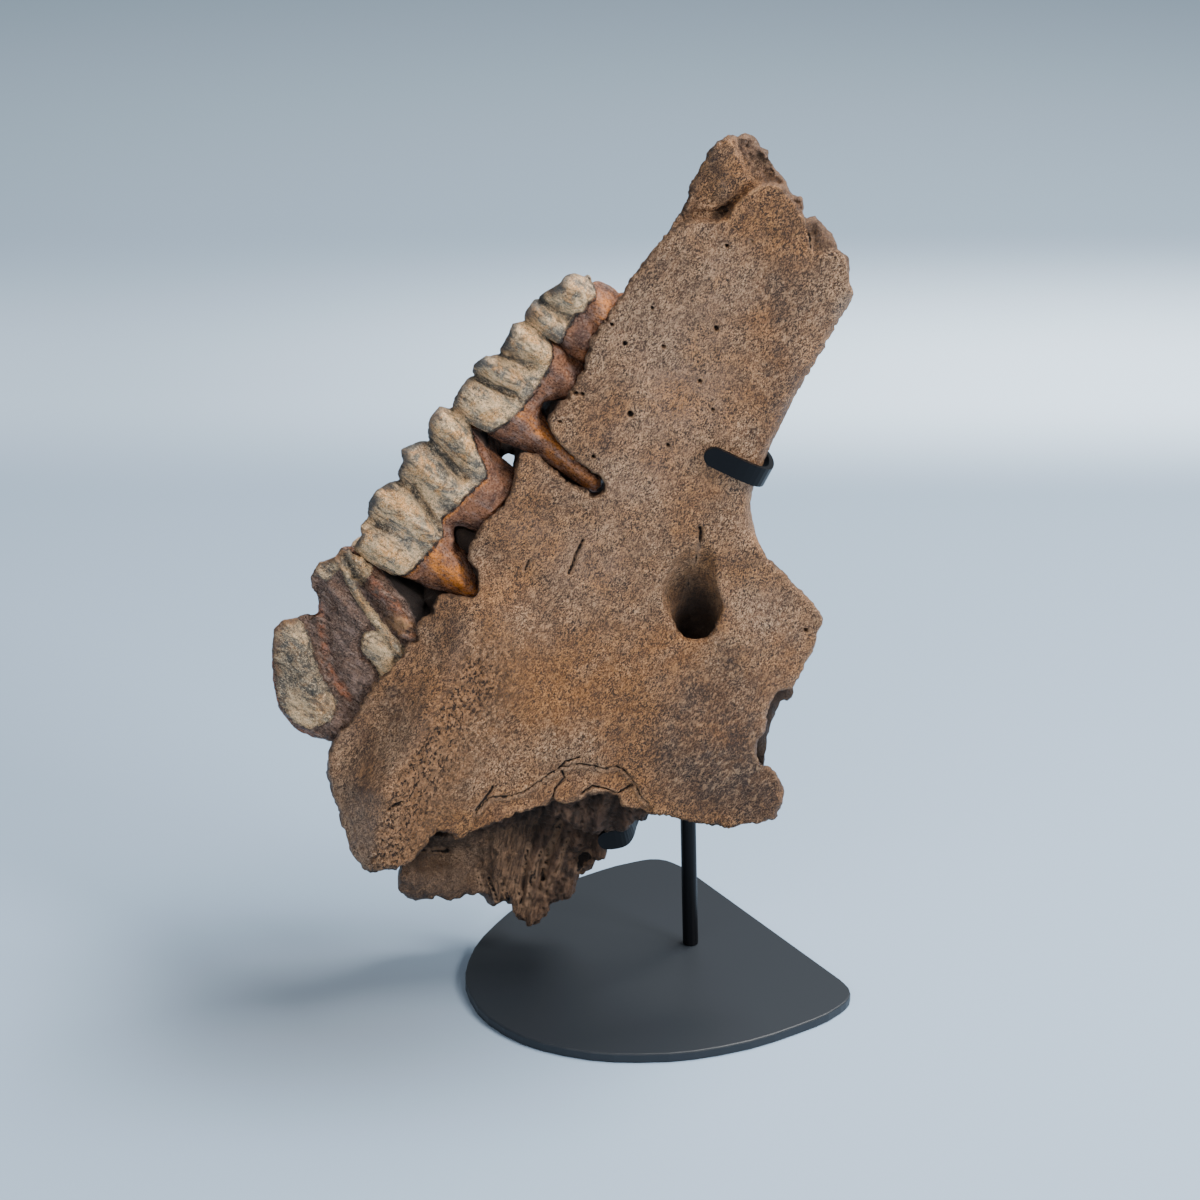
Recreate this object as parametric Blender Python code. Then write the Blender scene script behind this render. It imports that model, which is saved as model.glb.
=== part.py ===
# Fossil upper jaw of a woolly rhino: a piece of the left maxilla with four cheek teeth, held on
# a black steel stand. +Z is up and the outer face of the bone looks along -Y. The origin is on
# the underside of the base plate, below the foot of the rod. Named sizes are in millimetres.

import bmesh
import bpy
import numpy as np
from mathutils import Matrix, Vector

MM = 0.001
GAP = 0.3                      # left between pieces that touch

# The bone's outlines lie on the upright plane FACE_Y, as seen from EYE. A point nearer or deeper
# slides along its line to EYE, so the outline stays true whatever the relief does.
FACE_Y = -32.0
EYE = np.array([-29.4, -1070.9, 556.1])

# The tooth row's own frame: a runs forward along the row and v towards the chewing surface.
ROW_ORIGIN = np.array([-60.0, 160.0])
ROW_FORWARD = np.array([0.62, 0.785])
ROW_CHEWING = np.array([-0.785, 0.62])

# Base plate, rod and claws
PLATE_THICKNESS = 3.2
PLATE_EDGE = 0.5
ROD_RADIUS = 2.5
ROD_TOP = (-4.9, 0.0, 188.0)
STRIP_WIDTH = 6.2
STRIP_THICKNESS = 1.6

# Bone
FACE_DEPTH = -34.0             # the flat stretches of the outer face
WALL = 9.0                     # thickness of the outer wall
FACE_STEP = 4.0                # spacing of the relief grids
BONE_VOXEL = 1.5
BONE_TRIANGLES = 4300
# Swells and hollows of the outer face (u, w), half widths and how far each lies behind it
FACE_SWELLS = [((8.0, 108.0), (16.0, 14.0), 2.0), ((-12.0, 215.0), (16.0, 34.0), 2.0)]
RIGHT_EDGE_SINK = 6.0          # the broken right edge bends away
LOWER_EDGE_SINK = 3.0
FACE_WAVE = 0.5

# Teeth
BUCCAL = -33.0                 # depth of the outer side of the crowns
CHEWING_SLOPE = 0.28           # how fast the chewing surface drops towards the tongue side
TOOTH_STEP = 2.0
TOOTH_VOXEL = 0.9
TOOTH_TRIANGLES = 560
SOCKET_CLEARANCE = 0.7

# Outline of the bone on the face plane (x, z): down the tooth side, along the broken lower lip,
# up the right side and over the tip
FACE_OUTLINE = [
    (-7.6, 255.2), (-12.8, 247.6), (-19.2, 239.1), (-23.5, 232.0), (-31.8, 219.4),
    (-36.5, 205.1), (-44.0, 196.3), (-44.9, 191.3), (-34.2, 179.3), (-29.1, 176.4),
    (-29.7, 170.7), (-38.7, 174.5), (-43.5, 179.3), (-51.8, 184.3), (-54.8, 179.3),
    (-57.0, 170.3), (-66.5, 158.1), (-69.3, 150.7), (-66.6, 144.8), (-66.4, 139.0),
    (-69.8, 137.3), (-78.2, 138.3), (-83.5, 133.4), (-88.9, 119.2), (-101.5, 104.9),
    (-111.7, 90.8), (-113.6, 76.9), (-109.3, 62.6), (-106.7, 50.5), (-100.4, 45.3),
    (-91.3, 46.7), (-85.9, 51.2), (-79.4, 58.6), (-71.5, 56.1), (-58.0, 63.1),
    (-44.6, 68.1), (-31.3, 70.9), (-22.3, 65.7), (-12.3, 63.3), (4.2, 61.5),
    (12.6, 60.5), (24.4, 63.3), (26.8, 68.8), (26.0, 74.6), (19.0, 85.8), (21.0, 97.6),
    (25.2, 105.9), (29.7, 106.9), (33.5, 118.2), (37.8, 129.1), (33.7, 137.0),
    (25.0, 145.8), (18.8, 154.3), (16.2, 168.1), (20.2, 180.9), (28.6, 200.7),
    (36.9, 215.4), (44.8, 232.2), (43.1, 243.6), (32.6, 256.7), (25.2, 266.3),
    (18.0, 277.0), (14.5, 281.3), (8.4, 281.3), (2.7, 275.5), (-2.4, 266.9),
]

# The rim over the nasal opening, the only finished edge of the bone, is rounded
FINISHED_RIM = [(17.0, 158.0), (16.2, 168.1), (20.2, 180.9), (28.6, 200.7), (36.9, 215.4),
                (44.0, 230.0)]
RIM_WIDTH = 9.0
RIM_DROP = 4.5

# The outer plate breaks off along this line, and the tip behind it lies deeper
TIP_BREAK = [(-12.0, 250.5), (-3.8, 255.2), (4.1, 254.9), (11.3, 260.9), (17.9, 265.4),
             (26.0, 265.5)]
TIP_STEP = 5.0

# The facial crest, from its start above the teeth to the broken root of the cheekbone
CREST = [(-56.0, 145.0), (-63.5, 131.4), (-75.4, 106.6), (-87.8, 83.7), (-95.2, 70.8),
         (-99.6, 52.2)]
CREST_HEIGHTS = [0.0, 6.0, 12.0, 17.0, 19.0, 16.0]
CREST_STEEP_SIDE = 14.0
CREST_GENTLE_SIDE = 42.0

# The canal for the nerve and vessels of the face: centre line and radius, from the groove that
# leads into it to its blind end
CANAL = [((6.5, 168.0, -42.0), 4.5), ((4.0, 156.0, -40.0), 6.0), ((1.5, 146.0, -37.5), 7.5),
         ((-0.3, 136.5, -33.0), 8.6), ((-1.2, 127.5, -27.0), 8.6), ((-3.5, 117.0, -20.0), 7.0),
         ((-6.0, 106.0, -14.5), 5.0)]
# Its bony wall shows on the inner face as a long swelling
CANAL_BULGE = [(6.0, 160.0), (-2.0, 130.0), (-8.0, 100.0)]
CANAL_BULGE_HEIGHT = 13.0
CANAL_BULGE_RADIUS = 13.0

# The deep part below the lip: the back end of the upper jaw, with its ragged lower edge
DEEP_OUTLINE = [
    (-93.0, 53.0), (-91.3, 45.3), (-91.8, 41.1), (-90.5, 37.3), (-86.2, 34.8), (-76.1, 35.2),
    (-70.8, 36.7), (-66.3, 37.3), (-62.7, 34.1), (-57.3, 32.8), (-55.5, 29.2), (-52.0, 26.8),
    (-48.3, 28.1), (-45.5, 33.1), (-39.2, 37.3), (-37.6, 42.2), (-32.1, 47.2), (-27.5, 52.5),
    (-24.0, 58.0), (-22.8, 65.0), (-15.0, 69.0), (-14.0, 76.0), (-22.0, 90.0), (-42.0, 104.0),
    (-66.0, 112.0), (-88.0, 104.0), (-96.0, 84.0),
]

DEEP_FRONT = -13.0
DEEP_BACK = 8.0
# Swells of its outer side (u, w), half widths and how far each stands out (minus: a hollow)
DEEP_SWELLS = [((-92.0, 44.0), (15.0, 14.0), 13.0), ((-26.0, 56.0), (12.0, 12.0), 6.0),
               ((-76.0, 44.0), (7.0, 4.0), -4.0), ((-18.0, 70.0), (7.0, 8.0), 8.0)]
# The same for its inner side
PTERYGOID_SWELLS = [((-64.0, 58.0), (9.0, 30.0), 4.0), ((-42.0, 72.0), (9.0, 22.0), -4.0)]
# Behind its right corner the bone is hollowed up to this depth, and the lower claw passes there
CLAW_ROOM_DEPTH = -17.5

# The tooth-bearing ridge, in the row's frame: outline (a, y) seen from the chewing side
RIDGE_OUTLINE = [
    (-86.0, -27.0), (-90.0, -12.0), (-87.0, 6.0), (-78.0, 17.0), (-60.0, 21.0), (-30.0, 22.0),
    (0.0, 22.0), (30.0, 20.5), (56.0, 17.0), (74.0, 10.0), (90.0, 0.0), (104.0, -12.0),
    (112.0, -27.0),
]
RIDGE_TOP = 9.0
RIDGE_FLOOR = -14.0

# What is left of the bony palate, a thin shelf with a broken inner edge
PALATE_OUTLINE = [
    (-56.0, 14.0), (-50.0, 25.0), (-38.0, 31.0), (-27.0, 30.0), (-16.0, 36.0), (-5.0, 31.0),
    (4.0, 33.0), (19.0, 41.0), (33.0, 37.0), (47.0, 38.0), (58.0, 32.0), (66.0, 27.0),
    (78.0, 22.0), (86.0, 12.0), (94.0, 0.0), (60.0, 8.0), (0.0, 12.0),
]
PALATE_THICKNESS = 6.5
PALATE_VAULT = 0.42

# The broken inner wall of the sinus, which stands up from the ridge's inner edge
SINUS_WALL_OUTLINE = [
    (-70.0, -4.0), (-66.0, -20.0), (-57.0, -25.0), (-48.0, -22.0), (-36.0, -31.0),
    (-22.0, -28.0), (-12.0, -33.0), (2.0, -29.0), (14.0, -34.0), (27.0, -27.0), (38.0, -29.0),
    (50.0, -21.0), (63.0, -16.0), (70.0, -4.0),
]
SINUS_WALL_DEPTH = 13.0
SINUS_WALL_THICKNESS = 4.5

# A way right through between the roots of the second and third teeth
SEE_THROUGH = (-55.5, 182.5)
SEE_THROUGH_RADIUS = 3.4
SEE_THROUGH_DEPTHS = (-60.0, 26.0)

# Each tooth: chewing edge and neck line of its outer side (a, v), ribs of that side
# (a, rise, half width), its tongue side (a, reach, half width) and its roots (a, v, y, radius)
TEETH = {
    "tooth_premolar_front": dict(
        edge=[(56.0, 34.5), (58.5, 35.4), (63.0, 35.9), (71.8, 32.9), (77.0, 30.0)],
        neck=[(56.0, 21.0), (63.7, 22.0), (77.0, 22.0)],
        ribs=[(61.0, 1.6, 3.5), (71.5, 2.6, 5.0)],
        tongue=[(66.3, 40.0, 10.8)],
        valley=[(66.0, -9.0)],
        roots=[
            [(71.0, 22.0, -26.0, 7.0), (74.0, 13.0, -26.5, 5.2), (74.5, -8.0, -24.0, 2.6)],
            [(62.4, 22.0, -26.5, 5.3), (61.4, 13.0, -27.0, 4.4), (61.0, -8.0, -24.0, 2.4)],
            [(66.0, 18.0, -2.0, 7.5), (66.0, 8.0, -1.0, 6.0), (66.0, -9.0, 0.0, 3.0)],
        ],
    ),
    "tooth_premolar_rear": dict(
        edge=[(21.0, 34.0), (24.0, 35.6), (33.6, 36.8), (36.7, 37.4), (42.0, 34.6),
              (49.7, 35.0), (53.8, 36.3), (56.0, 34.8)],
        neck=[(21.0, 20.5), (31.5, 18.2), (44.1, 17.4), (51.7, 19.4), (56.0, 22.5)],
        ribs=[(26.5, 1.8, 4.5), (37.5, 2.2, 4.0), (50.5, 2.8, 5.0)],
        tongue=[(47.3, 46.0, 9.6), (30.2, 44.0, 9.4)],
        valley=[(38.5, -9.0)],
        roots=[
            [(48.4, 19.0, -26.0, 7.0), (49.4, 11.0, -26.5, 5.8), (49.4, -10.0, -24.0, 3.0)],
            [(32.0, 18.0, -25.0, 8.5), (30.0, 4.0, -27.5, 5.6), (28.6, -15.5, -29.0, 2.2)],
            [(39.0, 16.0, 3.0, 9.0), (39.0, 6.0, 4.0, 7.0), (39.0, -12.0, 5.0, 3.4)],
        ],
    ),
    "tooth_first_molar": dict(
        edge=[(-33.0, 31.0), (-26.0, 33.0), (-17.5, 35.8), (-12.6, 36.2), (-7.2, 34.4),
              (1.9, 38.0), (9.0, 34.8), (15.3, 37.3), (20.5, 36.5)],
        neck=[(-33.0, 18.0), (-29.0, 12.5), (-21.7, 11.7), (-12.7, 11.2), (-3.7, 13.6),
              (10.6, 12.2), (15.5, 20.1), (20.5, 28.0)],
        ribs=[(-26.0, 2.2, 5.0), (-13.0, 2.6, 4.0), (1.5, 2.4, 4.0), (14.5, 3.0, 4.5)],
        tongue=[(7.8, 50.0, 13.6), (-19.3, 47.0, 13.2)],
        valley=[(-4.0, -8.0), (-22.0, -14.0)],
        roots=[
            [(7.0, 16.0, -24.0, 11.0), (6.0, 8.0, -25.0, 8.5), (3.0, -14.0, -23.0, 3.6)],
            [(-20.5, 13.0, -25.0, 9.0), (-20.5, 3.0, -26.5, 7.0), (-21.5, -11.0, -25.0, 3.0)],
            [(0.0, 14.0, 8.0, 8.5), (-2.0, 2.0, 9.0, 6.2), (-2.0, -14.0, 9.0, 3.2)],
            [(-18.0, 12.0, 6.0, 8.5), (-18.5, 2.0, 7.0, 6.5), (-19.0, -14.0, 7.0, 3.2)],
        ],
    ),
    "tooth_second_molar": dict(
        edge=[(-91.5, 12.0), (-88.9, 18.5), (-82.2, 24.5), (-74.6, 30.0), (-68.1, 33.8),
              (-64.0, 33.0), (-55.7, 28.8), (-47.8, 35.0), (-42.3, 36.0), (-35.0, 33.0)],
        neck=[(-91.5, 2.0), (-84.0, -4.0), (-60.0, -5.0), (-44.0, -5.0), (-35.0, 3.0)],
        ribs=[(-86.0, 2.4, 4.5), (-73.0, 2.0, 4.0), (-50.0, -2.6, 5.0), (-38.0, 2.4, 3.0)],
        tongue=[(-48.8, 49.0, 13.6), (-76.5, 45.0, 13.6)],
        valley=[(-61.0, -8.0), (-78.0, -14.0)],
        roots=[
            [(-46.0, 2.0, -22.0, 8.0), (-46.0, -16.0, -21.0, 3.6)],
            [(-74.0, 0.0, -22.0, 8.0), (-74.0, -16.0, -21.0, 3.6)],
            [(-48.0, 2.0, 5.0, 8.5), (-48.0, -16.0, 6.0, 3.6)],
            [(-74.0, 0.0, 4.0, 8.0), (-74.0, -16.0, 5.0, 3.6)],
        ],
    ),
}
TEETH_APART = 0.4              # each crown is trimmed by this much where it meets the next
LOBE_FULLNESS = 2.6            # above 2 the lobes are blunter than an ellipse
OUTER_WALL_REACH = 24.0        # how far the crowns reach between their lobes
WEAR_TROUGH = 2.5              # depth of the worn trough behind the outer edge
VALLEY_DEPTH = 7.0

# Base plate outline (x, y): one straight edge from the front right corner to the back
PLATE_OUTLINE = [
    (47.2, -25.0), (3.8, 48.3), (-2.5, 57.5), (-9.5, 62.4), (-18.0, 60.3), (-34.0, 50.2),
    (-50.0, 36.0), (-64.0, 13.5), (-71.8, -12.0), (-70.6, -35.0), (-59.0, -57.0),
    (-40.0, -70.0), (-17.0, -74.0), (8.0, -69.3), (33.0, -55.0), (46.3, -42.5),
    (49.9, -34.0),
]

# Claw centre lines (x, y, z), from the rod to the rounded tip on the bone
UPPER_CLAW = [(-0.3, -0.8, 186.4), (8.0, -4.0, 182.3), (15.5, -11.0, 178.6),
              (20.0, -19.0, 176.4), (20.8, -27.0, 176.0), (19.2, -33.8, 176.8),
              (14.0, -36.5, 179.4), (1.8, -36.6, 185.5)]
LOWER_CLAW = [(-4.4, -0.6, 57.5), (-11.0, -1.2, 57.0), (-16.4, -4.0, 55.4),
              (-18.8, -9.5, 53.2), (-20.3, -15.0, 51.0), (-23.0, -18.6, 50.0),
              (-30.0, -18.8, 49.0)]
UPPER_CLAW_WIDTH = (0.445, 0.0, 0.895)
LOWER_CLAW_WIDTH = (-0.15, 0.0, 0.99)

COLOURS = {
    "bone": ((0.155, 0.096, 0.058), 0.85, 0.0),
    "tooth": ((0.30, 0.25, 0.18), 0.45, 0.0),
    "steel": ((0.012, 0.013, 0.016), 0.45, 0.0),
}


def clear_scene():
    for thing in list(bpy.data.objects):
        bpy.data.objects.remove(thing)


def make_material(name):
    colour, roughness, metallic = COLOURS[name]
    material = bpy.data.materials.new(name)
    material.use_nodes = True
    shader = material.node_tree.nodes["Principled BSDF"]
    shader.inputs["Base Color"].default_value = (*colour, 1.0)
    shader.inputs["Roughness"].default_value = roughness
    shader.inputs["Metallic"].default_value = metallic
    return material


# Frames

def on_face(u, w, y):
    """World points (mm) at depth y on the sight lines through (u, w) of the face plane"""
    t = (y - EYE[1]) / (FACE_Y - EYE[1])
    return np.stack([EYE[0] + (u - EYE[0]) * t, y, EYE[2] + (w - EYE[2]) * t], axis=-1)


def in_row(a, y, v):
    """World points (mm) of the tooth row's frame"""
    x = ROW_ORIGIN[0] + a * ROW_FORWARD[0] + v * ROW_CHEWING[0]
    z = ROW_ORIGIN[1] + a * ROW_FORWARD[1] + v * ROW_CHEWING[1]
    return np.stack([x, y, z], axis=-1)


# Shape functions, all on arrays of plane coordinates

def smooth(value, low, high):
    t = np.clip((value - low) / (high - low), 0.0, 1.0)
    return t * t * (3.0 - 2.0 * t)


def bump(p, q, centre, radius_p, radius_q):
    return np.exp(-((p - centre[0]) / radius_p) ** 2 - ((q - centre[1]) / radius_q) ** 2)


def from_line(p, q, line):
    """Distance to a polyline, place along it (in points) and side (-1 left of its direction)"""
    best = np.full(p.shape, 1e9)
    along = np.zeros(p.shape)
    side = np.ones(p.shape)
    for i, (start, end) in enumerate(zip(line[:-1], line[1:])):
        dp, dq = end[0] - start[0], end[1] - start[1]
        t = np.clip(((p - start[0]) * dp + (q - start[1]) * dq) / (dp * dp + dq * dq), 0, 1)
        off_p, off_q = p - start[0] - t * dp, q - start[1] - t * dq
        distance = np.hypot(off_p, off_q)
        nearer = distance < best
        best = np.where(nearer, distance, best)
        along = np.where(nearer, i + t, along)
        side = np.where(nearer, np.sign(dq * off_p - dp * off_q), side)
    return best, along, side


def crest_rise(u, w):
    distance, along, side = from_line(u, w, CREST)
    height = np.interp(along, range(len(CREST)), CREST_HEIGHTS)
    steep = np.exp(-(distance / CREST_STEEP_SIDE) ** 2)
    gentle = 0.45 * steep + 0.55 * np.exp(-(distance / CREST_GENTLE_SIDE) ** 2)
    return height * np.where(side > 0, steep, gentle)


def face_front(u, w):
    depth = FACE_DEPTH - crest_rise(u, w)
    beside_hollow = smooth(w, 160.0, 135.0) * smooth(w, 92.0, 108.0)
    depth += RIGHT_EDGE_SINK * smooth(u, 8.0, 38.0) * beside_hollow
    depth += LOWER_EDGE_SINK * smooth(w, 92.0, 62.0) * smooth(u, -30.0, 10.0)
    for centre, half_widths, sink in FACE_SWELLS:
        depth += sink * bump(u, w, centre, *half_widths)
    distance, _, side = from_line(u, w, TIP_BREAK)
    depth += TIP_STEP * np.where(side < 0, smooth(distance, 0.0, 2.0), 0.0)
    to_rim, _, _ = from_line(u, w, FINISHED_RIM)
    inside = np.clip(1.0 - to_rim / RIM_WIDTH, 0.0, 1.0)
    depth += RIM_DROP * (1.0 - np.sqrt(1.0 - inside * inside))
    depth += FACE_WAVE * np.sin(u / 6.3 + 1.0) * np.sin(w / 7.9)
    return depth


def face_back(u, w):
    distance, _, _ = from_line(u, w, CANAL_BULGE)
    depth = FACE_DEPTH - 0.8 * crest_rise(u, w) + WALL
    swelling = np.exp(-(distance / CANAL_BULGE_RADIUS) ** 2)
    depth += CANAL_BULGE_HEIGHT * swelling * smooth(w, 172.0, 140.0)
    depth += 5.0 * smooth(w, 225.0, 240.0)
    depth -= 2.5 * smooth(u, 10.0, 25.0)
    depth += 0.8 * np.sin(u / 9.1) * np.sin(w / 10.7 + 0.6)
    return depth


def deep_front(u, w):
    depth = DEEP_FRONT + 0.10 * (u + 55.0)
    for centre, half_widths, height in DEEP_SWELLS:
        depth -= height * bump(u, w, centre, *half_widths)
    depth -= 8.0 * smooth(w, 58.0, 76.0)
    depth -= 0.9 * np.sin((u + 0.35 * w) / 1.9) * smooth(w, 52.0, 36.0)
    return depth


def deep_back(u, w):
    depth = DEEP_BACK - 7.0 * smooth(w, 46.0, 27.0) - 6.0 * smooth(u, -78.0, -96.0)
    for centre, half_widths, height in PTERYGOID_SWELLS:
        depth += height * bump(u, w, centre, *half_widths)
    depth -= 8.0 * smooth(u, -38.0, -16.0)
    depth += np.sin(u / 7.0) * np.sin(w / 8.0)
    claw_room = smooth(u, -33.0, -25.0) * smooth(w, 88.0, 76.0)
    return depth + claw_room * (CLAW_ROOM_DEPTH - depth)


def ridge_top(a, y):
    top = RIDGE_TOP - 4.0 * bump(a, y, (18.0, -10.0), 6.0, 60.0)
    top -= 9.0 * bump(a, y, (-30.0, -22.0), 8.0, 16.0)
    front_end = smooth(a, 74.0, 82.0)
    top += front_end * (14.0 - 0.30 * (y + 32.0) - top)
    return top - 9.0 * smooth(a, -76.0, -92.0)


def ridge_floor(a, y):
    floor = RIDGE_FLOOR + 5.0 * smooth(a, 76.0, 108.0) - 6.0 * smooth(a, -60.0, -88.0)
    for tooth in TEETH.values():
        for root in tooth["roots"]:
            tip_a, tip_v, tip_y, _ = root[-1]
            lift = np.clip(RIDGE_FLOOR - tip_v + 4.0, 0.0, 6.0)
            floor = floor - lift * bump(a, y, (tip_a, tip_y), 7.0, 7.0)
    return floor


def palate_height(a, y):
    height = RIDGE_TOP - 2.5 - PALATE_VAULT * (y - 12.0) - 8.0 * smooth(a, 62.0, 86.0)
    return height - 6.0 * bump(a, y, (1.0, 32.0), 10.0, 9.0)


# Mesh building

def new_piece(name, mesh, material):
    piece = bpy.data.objects.new(name, mesh)
    bpy.context.collection.objects.link(piece)
    piece.data.materials.clear()
    piece.data.materials.append(material)
    return piece


def settle(piece):
    """Replace a piece's mesh by what its modifiers make of it"""
    shape = piece.evaluated_get(bpy.context.evaluated_depsgraph_get())
    result = bpy.data.meshes.new_from_object(shape)
    piece.modifiers.clear()
    piece.data = result


def grid_over(outline, step):
    """A flat sheet with the given outline, cut into a grid of triangles"""
    sheet = bmesh.new()
    sheet.faces.new([sheet.verts.new((p, q, 0.0)) for p, q in outline])
    for axis in range(2):
        values = [point[axis] for point in outline]
        normal = Vector((1.0 - axis, axis, 0.0))
        for at in np.arange(min(values) + 0.5 * step, max(values), step):
            everything = sheet.verts[:] + sheet.edges[:] + sheet.faces[:]
            bmesh.ops.bisect_plane(sheet, geom=everything, plane_co=normal * at,
                                   plane_no=normal)
    bmesh.ops.triangulate(sheet, faces=sheet.faces[:])
    sheet.verts.index_update()
    return sheet


def relief_solid(outline, step, near, far, place):
    """Closed mesh between two heights over an outline; place turns (p, q, height) into mm"""
    sheet = grid_over(outline, step)
    p = np.array([v.co.x for v in sheet.verts])
    q = np.array([v.co.y for v in sheet.verts])
    count = len(p)
    points = np.concatenate([place(p, q, near(p, q)), place(p, q, far(p, q))])
    faces = []
    for face in sheet.faces:
        corners = [v.index for v in face.verts]
        faces.append(corners)
        faces.append([i + count for i in reversed(corners)])
    for edge in sheet.edges:
        if edge.is_boundary:
            corners = [v.index for v in edge.link_loops[0].face.verts]
            first, second = (v.index for v in edge.verts)
            if corners[(corners.index(first) + 1) % len(corners)] != second:
                first, second = second, first
            faces.append([second, first, first + count, second + count])
    sheet.free()
    mesh = bpy.data.meshes.new("relief")
    mesh.from_pydata(points * MM, [], faces)
    outward = bmesh.new()
    outward.from_mesh(mesh)
    bmesh.ops.recalc_face_normals(outward, faces=outward.faces[:])
    outward.to_mesh(mesh)
    outward.free()
    return mesh


def tapered_tube(points, radii, sides=12):
    """Closed round tube along points (mm), with a radius at each"""
    tube = bmesh.new()
    points = [Vector(p) for p in points]
    rings = []
    for i, point in enumerate(points):
        ahead = points[min(i + 1, len(points) - 1)] - points[max(i - 1, 0)]
        turn = ahead.to_track_quat("Z", "Y").to_matrix().to_4x4()
        matrix = Matrix.Scale(MM, 4) @ Matrix.Translation(point) @ turn
        ring = bmesh.ops.create_circle(tube, segments=sides, radius=radii[i], matrix=matrix)
        rings.append(ring["verts"])
    for lower, upper in zip(rings[:-1], rings[1:]):
        for i in range(sides):
            j = (i + 1) % sides
            tube.faces.new([lower[i], lower[j], upper[j], upper[i]])
    tube.faces.new(list(reversed(rings[0])))
    tube.faces.new(rings[-1])
    bmesh.ops.recalc_face_normals(tube, faces=tube.faces[:])
    mesh = bpy.data.meshes.new("tube")
    tube.to_mesh(mesh)
    tube.free()
    return mesh


def grown_together(name, meshes, voxel, triangles, material):
    """One closed body from overlapping meshes, thinned to about the given triangle count"""
    together = bmesh.new()
    for mesh in meshes:
        together.from_mesh(mesh)
    joined = bpy.data.meshes.new(name)
    together.to_mesh(joined)
    together.free()
    piece = new_piece(name, joined, material)
    remesh = piece.modifiers.new("skin", "REMESH")
    remesh.mode = "VOXEL"
    remesh.voxel_size = voxel * MM
    settle(piece)
    keep_largest_body(piece)
    thin = piece.modifiers.new("thin", "DECIMATE")
    piece.data.calc_loop_triangles()
    thin.ratio = triangles / len(piece.data.loop_triangles)
    settle(piece)
    return piece


def keep_largest_body(piece):
    """Drop loose scraps, so that the piece is one closed body"""
    shape = bmesh.new()
    shape.from_mesh(piece.data)
    shape.faces.ensure_lookup_table()
    unseen = set(shape.faces)
    bodies = []
    while unseen:
        body = [unseen.pop()]
        for face in body:
            for edge in face.edges:
                for other in edge.link_faces:
                    if other in unseen:
                        unseen.remove(other)
                        body.append(other)
        bodies.append(body)
    bodies.sort(key=len)
    for body in bodies[:-1]:
        bmesh.ops.delete(shape, geom=body, context="FACES")
    shape.to_mesh(piece.data)
    shape.free()


def cut(piece, cutter):
    """Take the cutter's shape out of the piece"""
    boolean = piece.modifiers.new("cut", "BOOLEAN")
    boolean.operation = "DIFFERENCE"
    boolean.object = cutter
    settle(piece)
    bpy.data.objects.remove(cutter)


# Teeth

def from_points(points):
    """A function of one coordinate that runs through the points"""
    at = [p[0] for p in points]
    values = [p[1] for p in points]
    return lambda a: np.interp(a, at, values)


def crown_outline(tooth):
    """The crown seen from the chewing side: a ribbed outer side and lobes towards the tongue"""
    back_end, front_end = tooth["edge"][0][0], tooth["edge"][-1][0]
    a = np.linspace(back_end + TEETH_APART, front_end - TEETH_APART, 22)
    outer = np.full(a.shape, BUCCAL + 1.0)
    for at, rise, width in tooth["ribs"]:
        outer -= rise * np.exp(-((a - at) / width) ** 2)
    inner = np.full(a.shape, BUCCAL + OUTER_WALL_REACH)
    for at, reach, width in tooth["tongue"]:
        lobe = np.clip(1.0 - np.abs((a - at) / width) ** LOBE_FULLNESS, 0.0, 1.0)
        from_wall = (reach - OUTER_WALL_REACH) * np.sqrt(lobe)
        inner = np.maximum(inner, BUCCAL + OUTER_WALL_REACH + from_wall)
    corner = smooth(np.minimum(a - a[0], a[-1] - a), 0.0, 3.0)
    outer += 2.5 * (1.0 - corner)
    inner -= 3.0 * (1.0 - corner)
    return list(zip(a, outer)) + list(zip(a[::-1], inner[::-1]))


def make_tooth(name, material):
    tooth = TEETH[name]
    edge, neck = from_points(tooth["edge"]), from_points(tooth["neck"])

    def chewing(a, y):
        height = edge(a) - CHEWING_SLOPE * (y - BUCCAL)
        height -= WEAR_TROUGH * np.exp(-((y - BUCCAL - 10.0) / 4.0) ** 2)
        for at, y_at in tooth["valley"]:
            height -= VALLEY_DEPTH * bump(a, y, (at, y_at), 4.0, 11.0)
        return np.maximum(height, neck(a) + 2.0)

    crown = relief_solid(crown_outline(tooth), TOOTH_STEP, lambda a, y: neck(a) - 1.0, chewing,
                         in_row)
    parts = [crown]
    for root in tooth["roots"]:
        a, v, y, radius = np.array(root).T
        parts.append(tapered_tube(in_row(a, y, v), radius))
    return grown_together(name, parts, TOOTH_VOXEL, TOOTH_TRIANGLES, material)


def socket_cutter(tooth):
    """The tooth's shape, a little larger all round"""
    cutter = new_piece("socket", tooth.data.copy(), tooth.data.materials[0])
    grow = cutter.modifiers.new("grow", "DISPLACE")
    grow.strength = SOCKET_CLEARANCE * MM
    grow.mid_level = 0.0
    settle(cutter)
    return cutter


# Bone

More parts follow.
